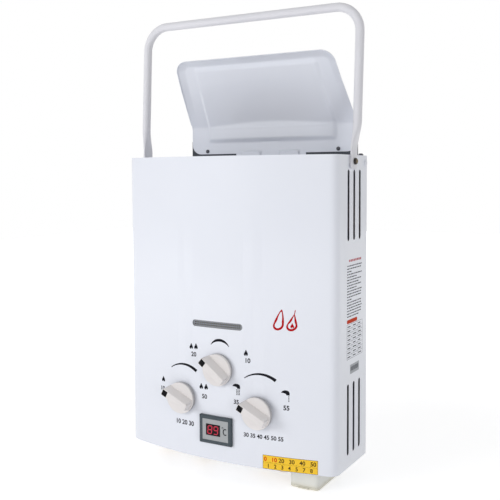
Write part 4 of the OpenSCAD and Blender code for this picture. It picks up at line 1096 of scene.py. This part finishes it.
# The side print: rows of short dashes, a red bar, a ruled field and a grey plate.
grey_ink = ink("grey ink", (0.055, 0.06, 0.075), (0.13, 0.135, 0.155))
side_rear = -15.5
side_front = -61.5
field_low = 129.5
field_row = 5.1
dashes = []
for row in range(19):
    level = 238 - 3.28*row
    shown = 0.30 if row in (2, 12) else 0.62 if row in (4, 6, 8, 18) else 1.0 - 0.04*(row % 3)
    at = side_front
    step = 0
    while at < side_front + (side_rear - side_front)*shown:
        long = 2.2 + 1.5*((row*7 + step*5) % 4)
        dashes.append((at, level, min(at + long, side_rear), level + 1.25))
        at += long + 1.1
        step += 1
ruled = []
for row in range(9):
    ruled.append((-62, field_low + field_row*row, -13, field_low + 0.3 + field_row*row))
for place in (-62, -46.5, -30, -13.3):
    ruled.append((place, field_low, place + 0.3, 170.3))
for row in range(8):
    low = field_low + 1.8 + field_row*row
    for place, long in ((-60, 9), (-43, 8 + row % 3), (-27, 10 - row % 4)):
        ruled.append((place, low, place + long, low + 1.3))
printed([bars(dashes), bars(ruled)], "side_rows", grey_ink, on_side)
title = [(-56 + 4.9*i, 243.3, -52.3 + 4.9*i, 245.9) for i in range(8)]
faded_red = ink("faded red ink", (0.50, 0.12, 0.14), (0.62, 0.20, 0.22))
printed([bars(title)], "side_title", faded_red, on_side)
pill = [(-59.7 - 2.3*sin(pi*i/6), 173.7 + 2.3*cos(pi*i/6)) for i in range(7)]
pill += [(-32.3 + 2.3*sin(pi*i/6), 173.7 - 2.3*cos(pi*i/6)) for i in range(7)]
vermilion = ink("vermilion ink", (0.55, 0.05, 0.02), (0.66, 0.08, 0.035))
printed([ink_face(pill)], "side_bar", vermilion, on_side)
pale_film = ink("pale film", (0.42, 0.44, 0.47), (0.52, 0.54, 0.57))
printed([bars([(-52, 111, -24, 122)])], "side_plate", pale_film, on_side)
plate_rows = [(-50 + 3.1*i, 114 + 0.6*(i % 2), -48.2 + 3.1*i, 119.4) for i in range(8)]
printed([bars(plate_rows)], "side_plate_rows", grey_ink, over_side)

# ---------------------------------------------------------------- flame window
# Perforated steel behind the slot, and an amber mica pane in the chamber's wall behind it.
mica_paint = grained((0.30, 0.26, 0.17), (0.48, 0.42, 0.28), (90, 4, 0.7, (1, 1, 3)), 0.12, 0.2,
                     coat=(0.3, 0.2))
mesh_paint = grained((0.20, 0.21, 0.225), (0.30, 0.31, 0.33), (500, 2, 0.6), 0.42, 0.15,
                     relief=(0.2, 0.0003), metallic=0.5)
refinish(["window_mesh"], finish_named("perforated steel", mesh_paint))
refinish(["mica_window"], finish_named("mica", mica_paint))

# ---------------------------------------------------------------- back and plates
# Galvanised sheet behind and below, with its crystals of zinc, white paint above, and plated
# steel for the doubler, the brackets, the burner's frame and the small hardware.
def metal(light, dark, rough, scale):
    """A metal whose tone and polish vary from spot to spot."""
    def paint(w):
        cloud = w.noise(70, 3, 0.6)
        spots = w.noise(scale, 2, 0.6)
        return {"Base Color": (cloud*0.6 + spots*0.4).between(dark, light), "Metallic": 1.0,
                "Roughness": spots*0.16 + (rough - 0.08), "Normal": w.bump(spots, 0.12, 0.0003)}
    return paint


def galvanised(w):
    where = w.place()
    flakes = w.node("ShaderNodeTexVoronoi", {}, {"Vector": where, "Scale": 95.0}, out=1)
    tone = w.node("ShaderNodeSeparateColor", {}, {0: flakes})
    scratch = w.noise(400, 2, 0.6, (1, 1, 0.06))
    zinc = (tone*0.7 + scratch*0.3).between((0.44, 0.46, 0.49), (0.62, 0.64, 0.67))
    return {"Base Color": zinc, "Metallic": 0.85, "Roughness": 0.34 + tone*0.16,
            "Normal": w.bump(scratch, 0.08, 0.0003)}


plated = finish_named("plated steel", metal((0.62, 0.63, 0.66), (0.42, 0.43, 0.46), 0.36, 500))
refinish(["back_plate", "bottom_plate"], finish_named("galvanised sheet", galvanised))
refinish(["top_plate"], finish_named("plain white enamel", enamel(enamel_low, enamel_high)))
refinish(["hanger_doubler", "handle_nuts", "chamber_brackets", "burner_frame", "push_rod",
          "battery_contacts", "door_pin", "inlet_filter"], plated)

# ---------------------------------------------------------------- heat exchanger and flue
# Copper throughout, dulled and darkened by heat towards the burner, under a steel collar.
copper_low = cabinet_foot + 150*MM
copper_high = cabinet_foot + 306*MM


def copper(w):
    cloud = w.noise(45, 4, 0.65)
    lines = w.noise(600, 2, 0.6)
    heat = 1 - w.part("Z").step(copper_low, copper_high)
    tarnish = (heat*0.55 + cloud*0.45).step(0.35, 0.85)
    return {"Base Color": tarnish.between((0.72, 0.32, 0.18), (0.23, 0.10, 0.075)), "Metallic": 0.95,
            "Roughness": 0.28 + tarnish*0.25, "Normal": w.bump(lines, 0.1, 0.0003)}


refinish(["exchanger_shell", "exchanger_fins", "exchanger_tubes", "combustion_chamber", "cold_pipe",
          "hot_pipe"], finish_named("heat-stained copper", copper))
flue_steel = metal((0.52, 0.52, 0.53), (0.30, 0.30, 0.32), 0.42, 200)
refinish(["flue_collar"], finish_named("flue steel", flue_steel))

# ---------------------------------------------------------------- burner
# Pressed stainless bars that have gone straw and blue at their ports, on a brass manifold.
port_level = cabinet_foot + 155.5*MM


def burnt_steel(w):
    cloud = w.noise(120, 3, 0.6)
    near = (w.part("Z") + cloud*4*MM).step(port_level - 14*MM, port_level + 1*MM)
    body = cloud.between((0.52, 0.52, 0.53), (0.64, 0.64, 0.65))
    straw = near.between(body, (0.42, 0.27, 0.12))
    blued = w.math("POWER", near, 4.0).between(straw, (0.09, 0.11, 0.20))
    return {"Base Color": blued, "Metallic": 0.95, "Roughness": 0.32 + cloud*0.12,
            "Normal": w.bump(cloud, 0.1, 0.0004)}


refinish(["burner_bars"], finish_named("burnt stainless", burnt_steel))
brass = finish_named("turned brass", metal((0.72, 0.50, 0.22), (0.48, 0.31, 0.12), 0.32, 700))
refinish(["gas_manifold", "gas_inlet", "water_inlet", "water_outlet", "drain_plug"], brass)
refinish([dial + "_spindle" for dial in dial_places], brass)


def ceramic(w):
    haze = w.noise(200)
    soot = (w.part("Z") + haze*5*MM).step(port_level - 8*MM, port_level + 2*MM)
    return {"Base Color": soot.between((0.86, 0.84, 0.79), (0.24, 0.21, 0.19)),
            "Roughness": 0.22 + haze*0.15, "Coat Weight": 0.3 + haze*0.2}


refinish(["flame_electrodes"], finish_named("glazed ceramic", ceramic))

# ---------------------------------------------------------------- valves and igniter
# Cast bodies for gas and water, a painted magnet valve, and black boxes with their leads.
def casting(light, dark):
    """Sand-blasted die casting with a coarse skin."""
    def paint(w):
        grit = w.noise(1400, 2, 0.6)
        cloud = w.noise(60, 3, 0.6)
        return {"Base Color": (grit*0.4 + cloud*0.6).between(dark, light), "Metallic": 0.9,
                "Roughness": 0.45 + grit*0.2, "Normal": w.bump(grit, 0.3, 0.0003)}
    return paint


def plastic(low, high, rough, grit=0.1):
    """Moulded plastic, lacquer or rubber with a fine skin."""
    def paint(w):
        skin = w.noise(1200, 2, 0.6)
        cloud = w.noise(40)
        return {"Base Color": cloud.between(low, high), "Roughness": rough + skin*0.12,
                "Normal": w.bump(skin, grit, 0.0003)}
    return paint


inner_finishes = (
    (["gas_valve"], "die-cast alloy", casting((0.66, 0.67, 0.69), (0.44, 0.45, 0.47))),
    (["water_valve", "valve_cover"], "cast brass", casting((0.66, 0.47, 0.23), (0.42, 0.28, 0.12))),
    (["gas_solenoid"], "blue lacquer", plastic((0.05, 0.09, 0.16), (0.08, 0.13, 0.22), 0.3)),
    (["igniter_box", "micro_switch", "overheat_cutout"], "black housing",
     plastic((0.018, 0.018, 0.021), (0.035, 0.035, 0.04), 0.42, 0.2)),
    (["ignition_lead"], "red silicone", plastic((0.38, 0.02, 0.015), (0.50, 0.035, 0.025), 0.45)),
    (["wiring_harness", "diaphragm"], "black rubber",
     plastic((0.014, 0.014, 0.015), (0.03, 0.03, 0.032), 0.6)))
for names, finish, paint in inner_finishes:
    refinish(names, finish_named(finish, paint))

# ---------------------------------------------------------------- battery case
# Milky plastic that hangs out of the bottom plate, with two wrapped cells and a hinged door.
case_low = cabinet_foot - 24.5*MM
band_level = 22*MM


def milky(w):
    cloud = w.noise(50)
    skin = w.noise(900, 2, 0.6)
    # Darker and more beige towards the case's bottom.
    lower_band = 1 - (w.part("Z") + cloud*2*MM).step(case_low + 1*MM, case_low + 9*MM)
    body = cloud.between((0.72, 0.72, 0.67), (0.78, 0.78, 0.73))
    return {"Base Color": lower_band.between(body, (0.66, 0.63, 0.52)), "Roughness": 0.26 + skin*0.1,
            "Coat Weight": 0.4 + cloud*0.1, "Normal": w.bump(skin, 0.05, 0.0003)}


def cell_wrap(w):
    band = w.part("Z").step(cabinet_foot + band_level, cabinet_foot + band_level + 0.3*MM)
    skin = w.noise(700)
    colour = band.between((0.030, 0.034, 0.045), (0.46, 0.30, 0.12))
    return {"Base Color": colour, "Metallic": 0.3 + band*0.5, "Roughness": 0.28 + skin*0.12,
            "Normal": w.bump(skin, 0.06, 0.0003)}


refinish(["battery_case", "battery_door"], finish_named("milky plastic", milky))
refinish(["battery_pack"], finish_named("cell wrap", cell_wrap))
